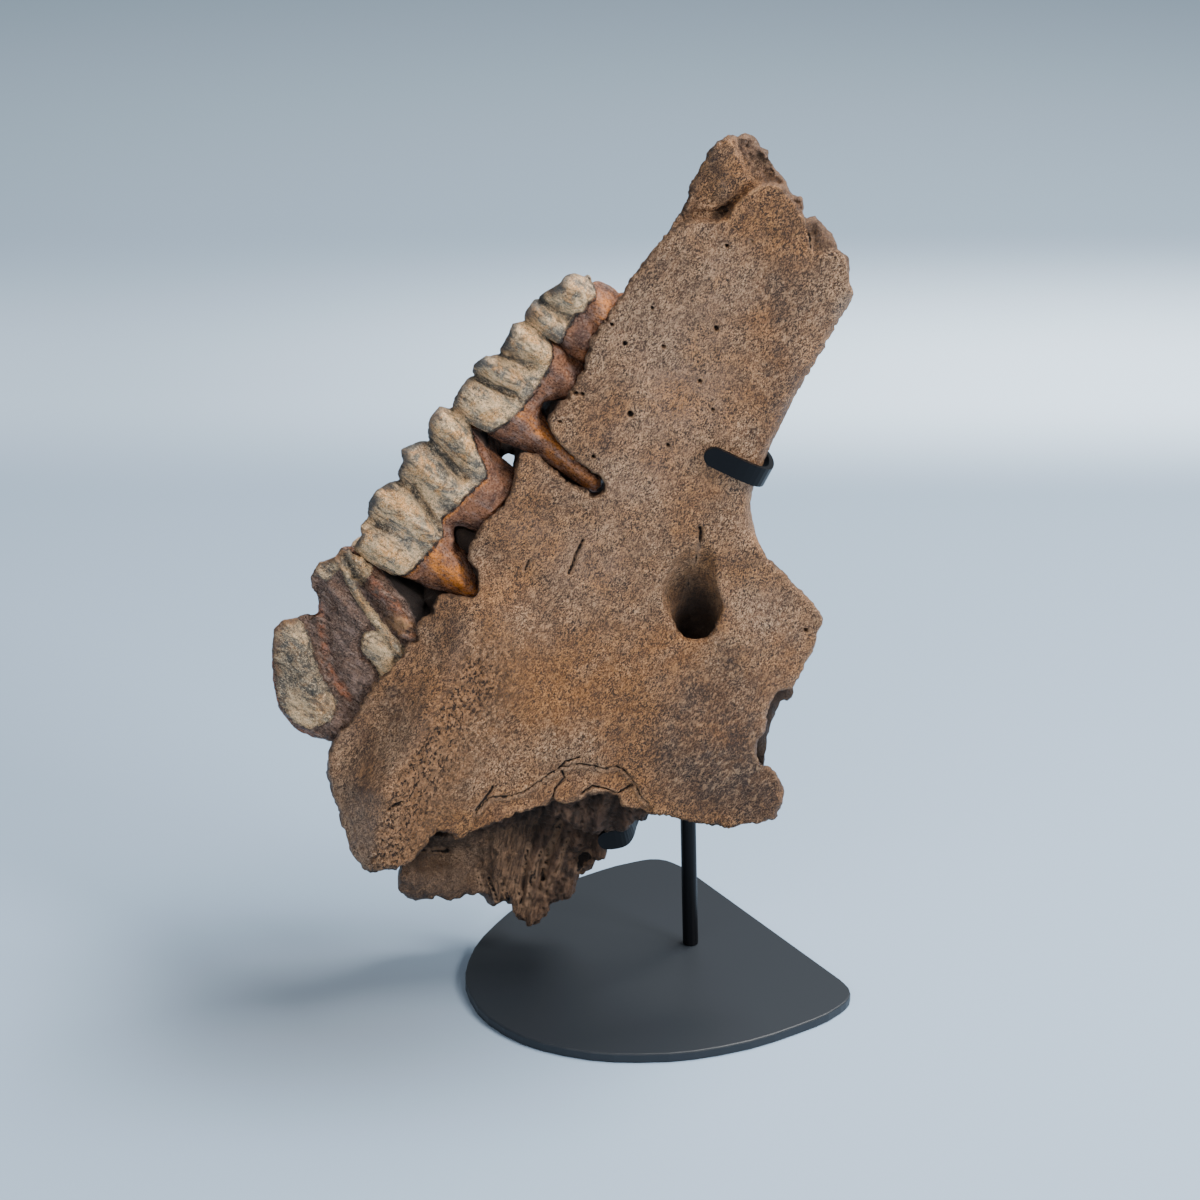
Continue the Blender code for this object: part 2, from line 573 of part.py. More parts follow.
def make_maxilla(material, teeth):
    wall = relief_solid(FACE_OUTLINE, FACE_STEP, face_front, face_back, on_face)
    deep = relief_solid(DEEP_OUTLINE, FACE_STEP, deep_front, deep_back, on_face)
    ridge = relief_solid(RIDGE_OUTLINE, FACE_STEP, ridge_floor, ridge_top, in_row)
    palate = relief_solid(
        PALATE_OUTLINE, FACE_STEP,
        lambda a, y: palate_height(a, y) - PALATE_THICKNESS, palate_height, in_row)
    sinus_wall = relief_solid(
        SINUS_WALL_OUTLINE, FACE_STEP,
        lambda a, v: SINUS_WALL_DEPTH + 1.5 * np.sin(a / 9.0),
        lambda a, v: SINUS_WALL_DEPTH + SINUS_WALL_THICKNESS + 1.5 * np.sin(a / 9.0),
        lambda a, v, y: in_row(a, y, v))
    maxilla = grown_together("maxilla", [wall, deep, ridge, palate, sinus_wall], BONE_VOXEL,
                             BONE_TRIANGLES, material)
    centres = [on_face(*point) for point, _ in CANAL]
    canal = tapered_tube(centres, [radius for _, radius in CANAL], sides=16)
    cut(maxilla, new_piece("canal", canal, material))
    through = [on_face(*SEE_THROUGH, y) for y in SEE_THROUGH_DEPTHS]
    opening = tapered_tube(through, [SEE_THROUGH_RADIUS] * 2, sides=8)
    cut(maxilla, new_piece("opening", opening, material))
    for tooth in teeth:
        cut(maxilla, socket_cutter(tooth))
    keep_largest_body(maxilla)
    return maxilla


# Stand

def make_base(material):
    outline = bpy.data.curves.new("plate", "CURVE")
    outline.dimensions = "2D"
    outline.fill_mode = "BOTH"
    outline.resolution_u = 3
    outline.extrude = (0.5 * PLATE_THICKNESS - PLATE_EDGE) * MM
    outline.bevel_depth = PLATE_EDGE * MM
    outline.bevel_resolution = 1
    outline.offset = -PLATE_EDGE * MM
    spline = outline.splines.new("BEZIER")
    spline.bezier_points.add(len(PLATE_OUTLINE) - 1)
    spline.use_cyclic_u = True
    for point, (x, y) in zip(spline.bezier_points, PLATE_OUTLINE):
        point.co = (x * MM, y * MM, 0.0)
        point.handle_left_type = point.handle_right_type = "AUTO"
    spline.bezier_points[0].handle_right_type = "VECTOR"
    spline.bezier_points[1].handle_left_type = "VECTOR"
    plate = bpy.data.objects.new("plate", outline)
    bpy.context.collection.objects.link(plate)
    mesh = bpy.data.meshes.new_from_object(
        plate.evaluated_get(bpy.context.evaluated_depsgraph_get()))
    bpy.data.objects.remove(plate)
    mesh.transform(Matrix.Translation((0.0, 0.0, 0.5 * PLATE_THICKNESS * MM)))
    weld = bmesh.new()
    weld.from_mesh(mesh)
    bmesh.ops.remove_doubles(weld, verts=weld.verts[:], dist=0.00001)
    weld.to_mesh(mesh)
    weld.free()
    return new_piece("stand_base", mesh, material)


def make_rod(material):
    foot = (0.0, 0.0, PLATE_THICKNESS + GAP)
    mesh = tapered_tube([foot, ROD_TOP], [ROD_RADIUS] * 2, sides=24)
    return new_piece("stand_rod", mesh, material)


def make_claw(name, line, upright, material):
    """A flat strip bent along a line (mm); upright is the strip's width direction"""
    curve = smooth_route([Vector(p) for p in line], 4)
    upright = Vector(upright).normalized()
    half = 0.5 * STRIP_THICKNESS
    reach = [0.0]
    for before, after in zip(curve[:-1], curve[1:]):
        reach.append(reach[-1] + (after - before).length)
    strip = bmesh.new()
    rings = []
    for i, point in enumerate(curve):
        ahead = (curve[min(i + 1, len(curve) - 1)] - curve[max(i - 1, 0)]).normalized()
        across = ahead.cross(upright).normalized()
        along_width = across.cross(ahead).normalized()
        to_tip = reach[-1] - reach[i]
        radius = 0.5 * STRIP_WIDTH
        shrink = np.sqrt(max(1.0 - (1.0 - min(to_tip / radius, 1.0)) ** 2, 0.04))
        width = radius * shrink
        ring = []
        for side, face in ((-1, -1), (1, -1), (1, 1), (-1, 1)):
            corner = point + along_width * side * width + across * face * half
            ring.append(strip.verts.new(corner * MM))
        rings.append(ring)
    for lower, upper in zip(rings[:-1], rings[1:]):
        for i in range(4):
            j = (i + 1) % 4
            strip.faces.new([lower[i], lower[j], upper[j], upper[i]])
    strip.faces.new(list(reversed(rings[0])))
    strip.faces.new(rings[-1])
    bmesh.ops.recalc_face_normals(strip, faces=strip.faces[:])
    mesh = bpy.data.meshes.new(name)
    strip.to_mesh(mesh)
    strip.free()
    return new_piece(name, mesh, material)


def smooth_route(points, steps):
    """Points on a smooth curve through the given ones"""
    padded = [2 * points[0] - points[1], *points, 2 * points[-1] - points[-2]]
    route = []
    for i in range(1, len(padded) - 2):
        p0, p1, p2, p3 = padded[i - 1:i + 3]
        for k in range(steps):
            t = k / steps
            route.append(0.5 * (2 * p1 + (p2 - p0) * t + (2 * p0 - 5 * p1 + 4 * p2 - p3) * t * t
                                + (3 * p1 - p0 - 3 * p2 + p3) * t ** 3))
    last = points[-1] - route[-1]
    route += [route[-1] + last * t for t in (0.4, 0.7, 0.9, 1.0)]
    return route


clear_scene()
bone = make_material("bone")
tooth_material = make_material("tooth")
steel = make_material("steel")
teeth = [make_tooth(name, tooth_material) for name in TEETH]
make_maxilla(bone, teeth)
make_base(steel)
make_rod(steel)
make_claw("upper_claw", UPPER_CLAW, UPPER_CLAW_WIDTH, steel)
make_claw("lower_claw", LOWER_CLAW, LOWER_CLAW_WIDTH, steel)
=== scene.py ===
# A broken fossil upper jaw of a woolly rhino on its black steel stand, dressed over the packed
# model. Named sizes are in millimetres unless they say otherwise.

import bmesh
import bpy
import numpy as np
from mathutils import Matrix, Vector


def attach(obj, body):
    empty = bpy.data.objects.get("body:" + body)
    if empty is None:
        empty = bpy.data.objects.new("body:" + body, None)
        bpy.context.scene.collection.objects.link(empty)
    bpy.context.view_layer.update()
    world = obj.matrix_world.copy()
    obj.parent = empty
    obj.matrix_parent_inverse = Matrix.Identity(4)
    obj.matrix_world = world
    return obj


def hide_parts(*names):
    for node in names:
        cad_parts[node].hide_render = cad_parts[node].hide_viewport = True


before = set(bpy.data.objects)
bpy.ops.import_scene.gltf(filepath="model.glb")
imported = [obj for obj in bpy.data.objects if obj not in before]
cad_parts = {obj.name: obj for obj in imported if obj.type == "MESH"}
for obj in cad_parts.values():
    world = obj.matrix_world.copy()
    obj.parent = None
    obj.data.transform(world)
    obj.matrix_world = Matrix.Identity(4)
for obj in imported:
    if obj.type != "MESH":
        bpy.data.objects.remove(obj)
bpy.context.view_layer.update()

MM = 0.001

# The outlines lie on the upright plane FACE_Y, as seen from EYE. A point nearer or deeper slides
# along its line to EYE.
FACE_Y = -32.0
EYE = np.array([-29.4, -1070.9, 556.1])
ROW_ORIGIN = (-60.0, 160.0)
ROW_FORWARD = (0.62, 0.785)

# Bone, on the face plane (x, z)
FACE_OUTLINE = [
    (-7.6, 255.2), (-12.8, 247.6), (-19.2, 239.1), (-23.5, 232.0), (-31.8, 219.4),
    (-36.5, 205.1), (-44.0, 196.3), (-44.9, 191.3), (-34.2, 179.3), (-29.1, 176.4),
    (-29.7, 170.7), (-38.7, 174.5), (-43.5, 179.3), (-51.8, 184.3), (-54.8, 179.3),
    (-57.0, 170.3), (-66.5, 158.1), (-69.3, 150.7), (-66.6, 144.8), (-66.4, 139.0),
    (-67.8, 137.2), (-73.4, 137.9), (-77.8, 138.2), (-79.7, 136.0), (-80.6, 132.8),
    (-84.3, 129.4), (-88.6, 121.4), (-94.6, 112.4), (-98.8, 108.8), (-105.3, 97.2),
    (-111.4, 90.2), (-113.6, 76.9), (-109.3, 62.6), (-106.7, 50.5), (-100.4, 45.3),
    (-91.3, 46.7), (-85.9, 51.2), (-81.5, 57.4), (-77.1, 58.2), (-73.8, 56.3), (-69.5, 58.4),
    (-64.4, 60.7), (-57.7, 63.5), (-51.8, 66.3), (-46.8, 68.1), (-42.6, 68.6), (-38.4, 68.0),
    (-35.9, 69.5), (-31.7, 71.4), (-27.5, 71.8), (-24.1, 70.0), (-22.5, 67.4), (-16.6, 66.3),
    (-12.3, 64.3), (4.2, 61.5), (12.6, 60.5), (24.4, 63.3), (26.7, 68.8), (27.0, 74.6), (25.2, 78.5), (22.6, 81.6), (20.2, 82.4),
    (18.9, 85.5), (19.1, 89.8), (21.0, 92.5), (21.2, 97.5), (21.8, 100.5), (23.4, 102.5),
    (24.9, 105.8), (29.5, 107.4), (31.2, 111.2), (33.6, 116.0), (36.0, 121.8), (37.6, 127.0),
    (38.0, 131.0), (35.6, 135.2), (32.0, 139.2), (25.5, 145.8), (18.8, 154.3), (16.2, 168.1),
    (20.2, 180.9), (28.6, 200.7), (36.9, 215.4), (44.5, 231.0), (44.2, 236.0), (43.2, 240.7),
    (42.8, 244.0), (40.1, 247.4), (38.8, 249.4), (36.8, 252.1), (34.4, 255.4), (32.2, 256.7),
    (30.4, 256.2), (29.6, 259.4), (29.2, 261.7), (27.0, 263.3), (25.0, 266.0), (21.1, 271.9),
    (19.1, 275.5), (17.1, 278.4), (14.9, 281.0), (12.6, 281.4), (10.7, 280.5), (9.5, 280.9),
    (7.6, 281.0), (5.7, 280.0), (2.5, 275.8), (0.0, 272.2), (-2.9, 266.4),
]
FINISHED_RIM = [(17.0, 158.0), (16.2, 168.1), (20.2, 180.9), (28.6, 200.7), (36.9, 215.4),
                (44.0, 230.0)]
TIP_BREAK = [(-12.0, 250.5), (-8.4, 253.0), (-4.6, 254.8), (-1.3, 256.1), (0.9, 255.7),
             (4.5, 255.4), (7.7, 257.1), (9.9, 260.1), (13.0, 263.1), (16.9, 265.6),
             (20.7, 267.0), (23.3, 265.4), (25.9, 262.1), (29.5, 257.1), (31.4, 252.9),
             (32.3, 248.9), (33.5, 243.0)]
TIP_STEPS = [0.3, 1.0, 2.0, 3.4, 4.4, 4.8, 4.8, 4.4, 4.0, 3.6, 2.6, 2.2, 2.2, 2.0, 1.6, 1.0, 0.0]
TIP_RIDGE = [(16.7, 266.6), (13.4, 269.9), (12.1, 273.2), (10.1, 277.1), (9.5, 283.0)]
TIP_PIT = [(1.6, 256.8), (4.0, 259.0), (7.8, 260.4), (10.8, 261.0), (8.2, 257.7), (4.7, 255.8)]
CREST = [(-56.0, 145.0), (-63.5, 131.4), (-75.4, 106.6), (-87.8, 83.7), (-95.2, 70.8),
         (-99.6, 52.2)]
CREST_HEIGHTS = [0.0, 6.0, 12.0, 17.0, 19.0, 16.0]
CANAL = [((3.2, 159.5, -40.6), 5.2), ((1.4, 152.0, -38.8), 6.2), ((-1.2, 145.2, -36.2), 7.4),
         ((-2.4, 138.6, -33.2), 8.3), ((-0.3, 134.2, -31.5), 8.0), ((-0.4, 125.6, -25.0), 6.4),
         ((-2.6, 116.0, -21.8), 5.0), ((-5.0, 108.0, -20.6), 3.6)]
CANAL_LINE = [(0.9, 158.6), (0.8, 155.3), (0.0, 151.2), (-1.7, 145.4), (-3.3, 139.5),
              (-4.9, 132.9)]
CANAL_BULGE = [(6.0, 160.0), (-2.0, 130.0), (-8.0, 100.0)]
INNER_LAYER = [(12.0, 114.0), (25.0, 113.0), (29.4, 108.6), (30.6, 106.4), (30.5, 104.8),
               (28.7, 103.5), (26.5, 102.5),
               (24.7, 99.5), (23.5, 95.7), (22.2, 91.8), (21.9, 87.9), (22.1, 83.9),
               (22.3, 81.4), (19.5, 77.0), (10.0, 75.0), (6.0, 92.0)]
DEEP_OUTLINE = [
    (-93.0, 53.0), (-91.3, 45.3), (-92.6, 39.8), (-90.8, 36.2), (-86.2, 34.8), (-81.5, 35.6),
    (-76.1, 35.2), (-70.8, 36.7), (-66.3, 37.3), (-62.7, 34.1), (-59.0, 33.6), (-57.3, 31.8),
    (-55.5, 29.2), (-52.0, 26.8), (-48.3, 28.1), (-46.8, 31.0), (-45.5, 33.1), (-41.0, 36.4),
    (-38.9, 38.6), (-37.6, 42.2), (-32.1, 47.2), (-27.5, 52.5), (-24.0, 58.0), (-21.8, 63.0),
    (-15.0, 67.0), (-14.0, 76.0), (-22.0, 90.0), (-42.0, 104.0), (-66.0, 112.0),
    (-88.0, 104.0), (-96.0, 84.0),
]
ROOF_OUTLINE = [
    (-47.0, 74.0), (-46.8, 66.5), (-42.0, 63.0), (-38.0, 60.5), (-34.5, 58.5), (-31.5, 58.4),
    (-29.2, 57.8), (-24.1, 58.4), (-21.0, 59.5), (-19.6, 61.2), (-18.0, 62.8), (-16.0, 63.2),
    (-14.0, 64.8), (-12.0, 72.0), (-28.0, 80.0),
]
SEE_THROUGH = [(-59.8, 181.7), (-57.4, 183.1), (-55.2, 183.6), (-55.5, 180.4), (-55.9, 177.4), (-58.1, 179.4)]

# The hidden parts, in the frame of the tooth row (a forward, y away, v towards the chewing side)
RIDGE_OUTLINE = [
    (-86.0, -27.0), (-90.0, -12.0), (-87.0, 6.0), (-78.0, 17.0), (-60.0, 21.0), (-30.0, 22.0),
    (0.0, 22.0), (30.0, 20.5), (56.0, 17.0), (74.0, 10.0), (90.0, 0.0), (104.0, -12.0),
    (112.0, -27.0),
]
PALATE_OUTLINE = [
    (-56.0, 14.0), (-50.0, 25.0), (-38.0, 31.0), (-27.0, 30.0), (-16.0, 36.0), (-5.0, 31.0),
    (4.0, 33.0), (19.0, 41.0), (33.0, 37.0), (47.0, 38.0), (58.0, 32.0), (66.0, 27.0),
    (78.0, 22.0), (86.0, 12.0), (94.0, 0.0), (60.0, 8.0), (0.0, 12.0),
]
SINUS_WALL_OUTLINE = [
    (-70.0, -4.0), (-66.0, -20.0), (-57.0, -25.0), (-48.0, -22.0), (-36.0, -31.0),
    (-22.0, -28.0), (-12.0, -33.0), (2.0, -29.0), (14.0, -34.0), (27.0, -27.0), (38.0, -29.0),
    (50.0, -21.0), (63.0, -16.0), (70.0, -4.0),
]

# Marks of the bone's surface: polyline (x, z), half width, depth
BONE_CRACKS = [
    ([(-67.8, 64.4), (-64.4, 68.6), (-62.7, 70.0), (-57.6, 70.0), (-52.6, 71.8), (-48.4, 75.0),
      (-45.0, 77.8), (-40.9, 80.1), (-35.8, 81.3), (-30.8, 80.5), (-27.5, 79.4), (-24.2, 80.4),
      (-21.6, 78.7), (-19.1, 75.0), (-16.6, 70.0), (-14.9, 68.1)], 0.55, 1.5),
    ([(-43.4, 78.3), (-40.0, 82.4), (-35.8, 83.8)], 0.4, 0.9),
    ([(-40.9, 78.7), (-40.4, 76.9), (-43.4, 73.2), (-44.2, 69.0)], 0.4, 0.9),
    ([(-35.0, 71.4), (-31.7, 74.1), (-27.5, 73.2), (-24.1, 71.5), (-20.0, 74.1)], 0.45, 1.2),
    ([(-67.9, 65.7), (-65.0, 69.5), (-62.6, 73.5)], 0.55, 1.2),
    ([(0.7, 159.6), (1.1, 158.0), (0.8, 155.6)], 0.6, 1.8),
    ([(-34.7, 155.6), (-36.6, 151.5), (-37.8, 147.4), (-38.9, 144.9)], 0.5, 1.2),
    ([(-50.9, 149.0), (-52.0, 146.1)], 0.45, 1.0),
    ([(32.2, 251.5), (32.6, 249.7), (32.2, 247.3)], 0.6, 1.4),
    ([(-95.0, 65.7), (-92.8, 67.2), (-90.6, 68.4)], 0.6, 1.5),
]
BONE_PORES = [
    (-20.4, 195.9, 1.0), (-22.0, 218.0, 0.8), (4.9, 222.6, 0.8), (-14.0, 229.0, 0.5),
    (7.7, 248.0, 0.6), (14.8, 249.3, 0.5), (0.2, 206.2, 0.6), (4.1, 197.4, 0.6),
    (-9.1, 186.2, 0.6), (-34.5, 202.2, 0.6), (-36.6, 202.5, 0.7), (-25.9, 223.9, 0.6),
    (-10.6, 216.9, 0.5), (-31.3, 182.4, 0.6), (33.3, 126.5, 0.6), (-41.3, 193.5, 0.5),
]
DEEP_CRACKS = [
    ([(-41.5, 61.2), (-43.6, 56.0), (-45.5, 51.5), (-46.8, 44.6), (-48.4, 37.7)], 0.45, 2.4),
    ([(-51.9, 53.8), (-52.7, 49.2), (-53.5, 43.5)], 0.25, 1.0),
    ([(-60.2, 41.2), (-58.7, 36.6), (-57.7, 31.7)], 0.40, 1.6),
    ([(-56.1, 42.3), (-54.6, 36.6), (-54.1, 32.5)], 0.30, 1.2),
    ([(-50.7, 44.6), (-51.4, 38.9), (-52.0, 33.1)], 0.35, 1.4),
    ([(-47.8, 51.5), (-49.3, 46.9), (-50.1, 42.3)], 0.25, 1.0),
    ([(-42.6, 46.9), (-44.7, 42.3), (-46.3, 36.6)], 0.35, 1.4),
    ([(-64.3, 42.3), (-62.8, 38.3), (-61.8, 34.8)], 0.35, 1.3),
    ([(-39.5, 56.0), (-41.6, 50.3), (-42.6, 44.6)], 0.30, 1.2),
    ([(-67.9, 45.2), (-66.9, 41.7), (-66.5, 38.3)], 0.25, 0.9),
    ([(-85.3, 52.2), (-79.7, 52.0), (-72.5, 51.2)], 0.50, 1.4),
    ([(-36.4, 45.6), (-35.4, 49.3), (-33.6, 50.0)], 1.10, 2.0),
]
# Grey and dark patches on the worn molar: centre (a, v), radii, strength
ENAMEL_GRIME = [
    (-72.0, 21.0, 5.5, 7.0, 1.0), (-79.5, 22.0, 6.0, 5.0, 0.8), (-77.0, 13.0, 6.0, 7.0, 1.0),
    (-48.0, 30.6, 2.4, 1.8, 1.0), (-43.0, 32.0, 3.0, 2.0, 0.5), (-55.5, 5.0, 2.0, 3.0, 0.4),
    (-84.5, 6.0, 2.4, 3.0, 0.4), (-38.0, 29.0, 2.0, 3.0, 0.5),
]

# Teeth, in the frame of the row. Strokes are ridges and grooves of the outer side (a, v) with
# half width and height; bare is the outline of the roots that show
TEETH = {
    "tooth_premolar_front": dict(
        edge=[(55.4, 34.2), (58.5, 35.4), (63.0, 35.9), (66.6, 34.9), (71.8, 32.7),
              (74.8, 32.9), (77.0, 31.9), (78.1, 29.0)],
        lean=0.40,
        neck=[(55.6, 21.9), (57.8, 21.0), (59.6, 22.0), (64.0, 22.5), (67.7, 23.0),
              (69.0, 21.6), (71.4, 22.3), (74.8, 21.8), (76.6, 22.8), (78.1, 25.8)],
        ribs=[(60.4, 2.4, 2.9), (71.5, 3.8, 5.0)],
        tongue=[(66.3, 40.0, 10.8)],
        valley=[(66.0, -9.0)],
        strokes=[([(64.1, 36.0), (64.0, 30.5), (65.0, 24.0)], 1.5, -2.4),
                 ([(73.5, 33.0), (74.0, 23.6)], 2.0, 0.5)],
        bare=[(77.2, 25.0), (79.2, 20.7), (79.0, 15.0), (78.0, 6.0), (73.0, 0.0), (62.0, 0.0),
              (57.2, 6.0), (56.2, 14.0), (56.5, 22.0), (60.0, 26.0), (73.0, 26.0)],
        bare_depth=-23.4,
        bark=[([(67.8, 19.5), (66.0, 14.0), (64.8, 8.0)], 1.6, -1.6),
              ([(73.8, 19.0), (73.0, 8.0)], 3.0, 0.8)],
        roots=[[(61.5, 18.0, -6.0, 5.8), (61.5, 8.0, -5.0, 5.2), (62.0, -9.0, -4.0, 3.0)]],
    ),
    "tooth_premolar_rear": dict(
        edge=[(20.6, 33.0), (22.3, 34.9), (27.4, 36.0), (33.6, 36.3), (36.7, 37.4),
              (40.4, 36.3), (43.9, 34.5), (49.7, 34.9), (53.8, 36.2), (56.6, 34.4)],
        neck=[(20.6, 24.0), (22.0, 20.3), (28.0, 18.3), (33.5, 17.6), (38.6, 17.8),
              (44.0, 18.2), (47.7, 18.6), (51.9, 20.0), (55.2, 22.4), (57.0, 26.5)],
        ribs=[(27.2, 3.0, 4.4), (39.0, 3.2, 3.2), (51.0, 3.8, 4.4)],
        tongue=[(47.3, 46.0, 9.6), (30.2, 44.0, 9.4)],
        valley=[(38.5, -9.0)],
        strokes=[([(33.2, 37.0), (34.4, 29.9), (36.0, 22.5)], 1.3, -2.6),
                 ([(43.0, 36.0), (44.6, 30.3), (46.6, 23.5)], 1.7, -2.4),
                 ([(38.2, 37.0), (39.8, 23.6)], 1.8, 0.6)],
        bare=[(56.2, 24.0), (55.6, 16.0), (55.8, 11.0), (53.0, 0.0), (49.5, -9.0),
              (46.5, -9.0), (45.0, 4.0), (44.0, 9.5), (41.5, 11.0), (38.2, 12.0),
              (36.0, 10.0), (34.6, 4.0), (33.4, -6.0), (32.3, -14.2), (29.8, -17.0),
              (27.0, -16.6), (25.6, -12.0), (24.9, 0.0), (24.0, 8.0), (22.3, 14.0),
              (21.3, 20.0), (24.0, 25.0), (50.0, 25.0)],
        bare_depth=-23.4,
        bark=[([(39.8, 16.5), (38.3, 10.0)], 3.0, -1.4),
              ([(50.0, 17.0), (49.5, 4.0)], 3.2, 0.7),
              ([(30.0, 17.5), (30.6, 8.0), (29.6, -12.0)], 2.4, 0.7)],
        roots=[[(39.0, 16.0, 3.0, 9.0), (39.0, 6.0, 4.0, 7.0), (39.0, -12.0, 5.0, 3.4)],
               [(31.0, 2.0, -14.0, 4.5), (29.0, -14.0, -16.0, 4.2), (28.6, -19.5, -16.0, 3.6)]],
    ),
    "tooth_first_molar": dict(
        edge=[(-33.4, 30.9), (-27.3, 30.9), (-25.1, 33.3), (-21.5, 33.2), (-17.5, 35.6),
              (-12.6, 36.1), (-7.2, 34.2), (-0.7, 35.5), (1.9, 37.9), (5.7, 36.6),
              (9.3, 34.6), (15.3, 37.2), (20.0, 37.6), (21.2, 35.0)],
        neck=[(-33.4, 17.0), (-31.8, 15.0), (-29.5, 12.2), (-21.7, 11.6), (-12.7, 11.4),
              (-8.5, 15.2), (-3.7, 14.0), (5.4, 13.3), (10.6, 12.4), (12.3, 13.9),
              (15.5, 20.1), (19.1, 24.7), (21.2, 27.0)],
        ribs=[(-27.6, 2.8, 4.0), (-14.5, 4.2, 4.6), (0.6, 3.4, 3.8), (15.0, 3.8, 4.0)],
        tongue=[(7.8, 50.0, 13.6), (-19.3, 47.0, 13.2)],
        valley=[(-4.0, -8.0), (-22.0, -14.0)],
        strokes=[([(9.4, 36.0), (8.0, 27.0), (5.9, 18.0)], 1.6, -2.7),
                 ([(-6.6, 35.5), (-6.0, 28.0), (-8.4, 22.1), (-12.0, 13.0)], 1.3, -2.8),
                 ([(-22.3, 34.0), (-21.4, 26.5)], 1.5, -2.0),
                 ([(19.0, 37.0), (16.0, 28.5), (11.5, 17.0)], 2.2, 0.9),
                 ([(2.4, 37.0), (0.0, 24.6), (-2.5, 16.0)], 2.2, 0.6)],
        bare=[(20.0, 28.0), (18.6, 23.4), (17.2, 19.1), (16.9, 13.8), (16.3, 5.0), (13.0, -8.0), (8.0, -14.0),
              (2.0, -14.0), (-3.0, -6.0), (-6.0, 5.0), (-8.2, 10.0), (-11.5, 7.0),
              (-13.6, 0.5), (-18.0, -5.5), (-21.5, -9.5), (-23.7, -8.6), (-26.0, -3.0),
              (-28.8, 3.0), (-30.5, 11.0), (-32.5, 19.0), (-20.0, 18.0), (-8.0, 19.0),
              (8.0, 18.0), (16.0, 26.0)],
        bare_depth=-23.0,
        bark=[([(-9.0, 14.0), (-11.5, 6.0)], 1.6, -1.4),
              ([(5.0, 12.0), (4.0, -4.0)], 4.0, 1.0),
              ([(-19.5, 10.0), (-20.5, -6.0)], 3.6, 1.2)],
        roots=[[(0.0, 14.0, 8.0, 8.5), (-2.0, 2.0, 9.0, 6.2), (-2.0, -14.0, 9.0, 3.2)],
               [(-18.0, 12.0, 6.0, 8.5), (-18.5, 2.0, 7.0, 6.5), (-19.0, -14.0, 7.0, 3.2)]],
    ),
    "tooth_second_molar": dict(
        edge=[(-91.7, 9.2), (-90.8, 13.0), (-88.9, 16.9), (-82.2, 23.9), (-74.6, 29.8),
              (-68.1, 33.7), (-64.0, 33.0), (-60.5, 30.2), (-55.7, 28.6), (-52.0, 31.0),
              (-47.8, 35.2), (-42.3, 36.0), (-38.1, 33.2), (-34.8, 33.4)],
        neck=[(-91.7, 3.0), (-88.3, -0.5), (-84.0, -4.0), (-60.0, -6.0), (-44.0, -6.0),
              (-34.8, 2.0)],
        ribs=[],
        tongue=[(-48.8, 49.0, 13.6), (-76.5, 45.0, 13.6)],
        valley=[(-61.0, -8.0), (-78.0, -14.0)],
        strokes=[([(-34.9, 33.0), (-35.0, 25.6), (-38.6, 13.1), (-41.6, 4.9), (-44.9, -3.0)],
                  2.0, 2.2),
                 ([(-37.6, 35.0), (-41.5, 25.5), (-44.9, 17.7), (-48.4, 7.2), (-51.3, -3.0)],
                  1.2, 1.9),
                 ([(-36.2, 31.0), (-40.6, 18.9), (-46.4, 3.0)], 1.1, -1.6),
                 ([(-54.6, 7.2), (-53.8, 2.0), (-57.0, -3.0)], 3.0, 1.4),
                 ([(-50.1, 10.8), (-53.8, 11.6), (-57.4, 9.4), (-59.6, 6.2), (-59.3, 3.1),
                   (-61.5, -1.5)], 0.6, -1.4),
                 ([(-53.6, 29.0), (-60.6, 22.6), (-66.4, 16.3), (-71.7, 9.4), (-76.0, 1.0)],
                  3.6, -3.6),
                 ([(-47.6, 27.0), (-50.2, 19.3), (-51.0, 11.4)], 2.6, 1.9),
                 ([(-49.0, 30.5), (-51.4, 24.0)], 1.3, -2.2),
                 ([(-64.7, 33.0), (-70.8, 20.6), (-79.5, 6.0)], 6.0, 2.2),
                 ([(-77.0, 27.0), (-79.3, 19.1), (-75.1, 17.3)], 0.4, -0.5),
                 ([(-89.5, 15.0), (-84.7, 12.2), (-81.0, 11.0)], 0.4, -0.5),
                 ([(-65.7, 11.5), (-62.1, 9.6), (-59.7, 6.8)], 0.4, -0.6)],
        bare=[(-87.0, 4.0), (-80.0, -8.0), (-72.0, -16.0), (-60.0, -12.0), (-47.0, -16.0),
              (-40.0, -6.0), (-37.0, 4.0), (-50.0, 8.0), (-70.0, 8.0)],
        bare_depth=-20.0,
        bark=[],
        roots=[[(-48.0, 2.0, 5.0, 8.5), (-48.0, -16.0, 6.0, 3.6)],
               [(-74.0, 0.0, 4.0, 8.0), (-74.0, -16.0, 5.0, 3.6)]],
    ),
}
# The worn and broken second molar: where enamel, bare dentine and rusty stain show (a, v)
ENAMEL_ZONES = [
    [(-60.0, 33.0), (-62.5, 25.5), (-66.0, 20.5), (-71.0, 14.5), (-74.0, 8.5), (-76.0, 3.5),
     (-82.3, 1.3), (-88.6, 4.7), (-90.0, 11.0), (-86.6, 18.3), (-77.0, 27.4), (-68.5, 34.5)],
    [(-52.9, 11.2), (-50.2, 9.6), (-49.7, 6.2), (-51.3, -1.0), (-53.0, -6.0), (-60.0, -6.0),
     (-61.5, -1.3), (-59.7, 1.1), (-58.6, 4.7), (-58.7, 7.1), (-56.1, 10.0)],
    [(-47.2, 36.0), (-42.0, 38.0), (-37.6, 35.5), (-36.6, 31.0), (-40.0, 29.5), (-46.0, 29.8)],
    [(-35.4, 34.5), (-37.2, 34.5), (-42.8, 25.5), (-46.4, 17.7), (-50.0, 7.2), (-53.0, -4.0),
     (-49.5, -4.0), (-46.6, 7.2), (-43.3, 17.7), (-40.0, 25.5)],
]
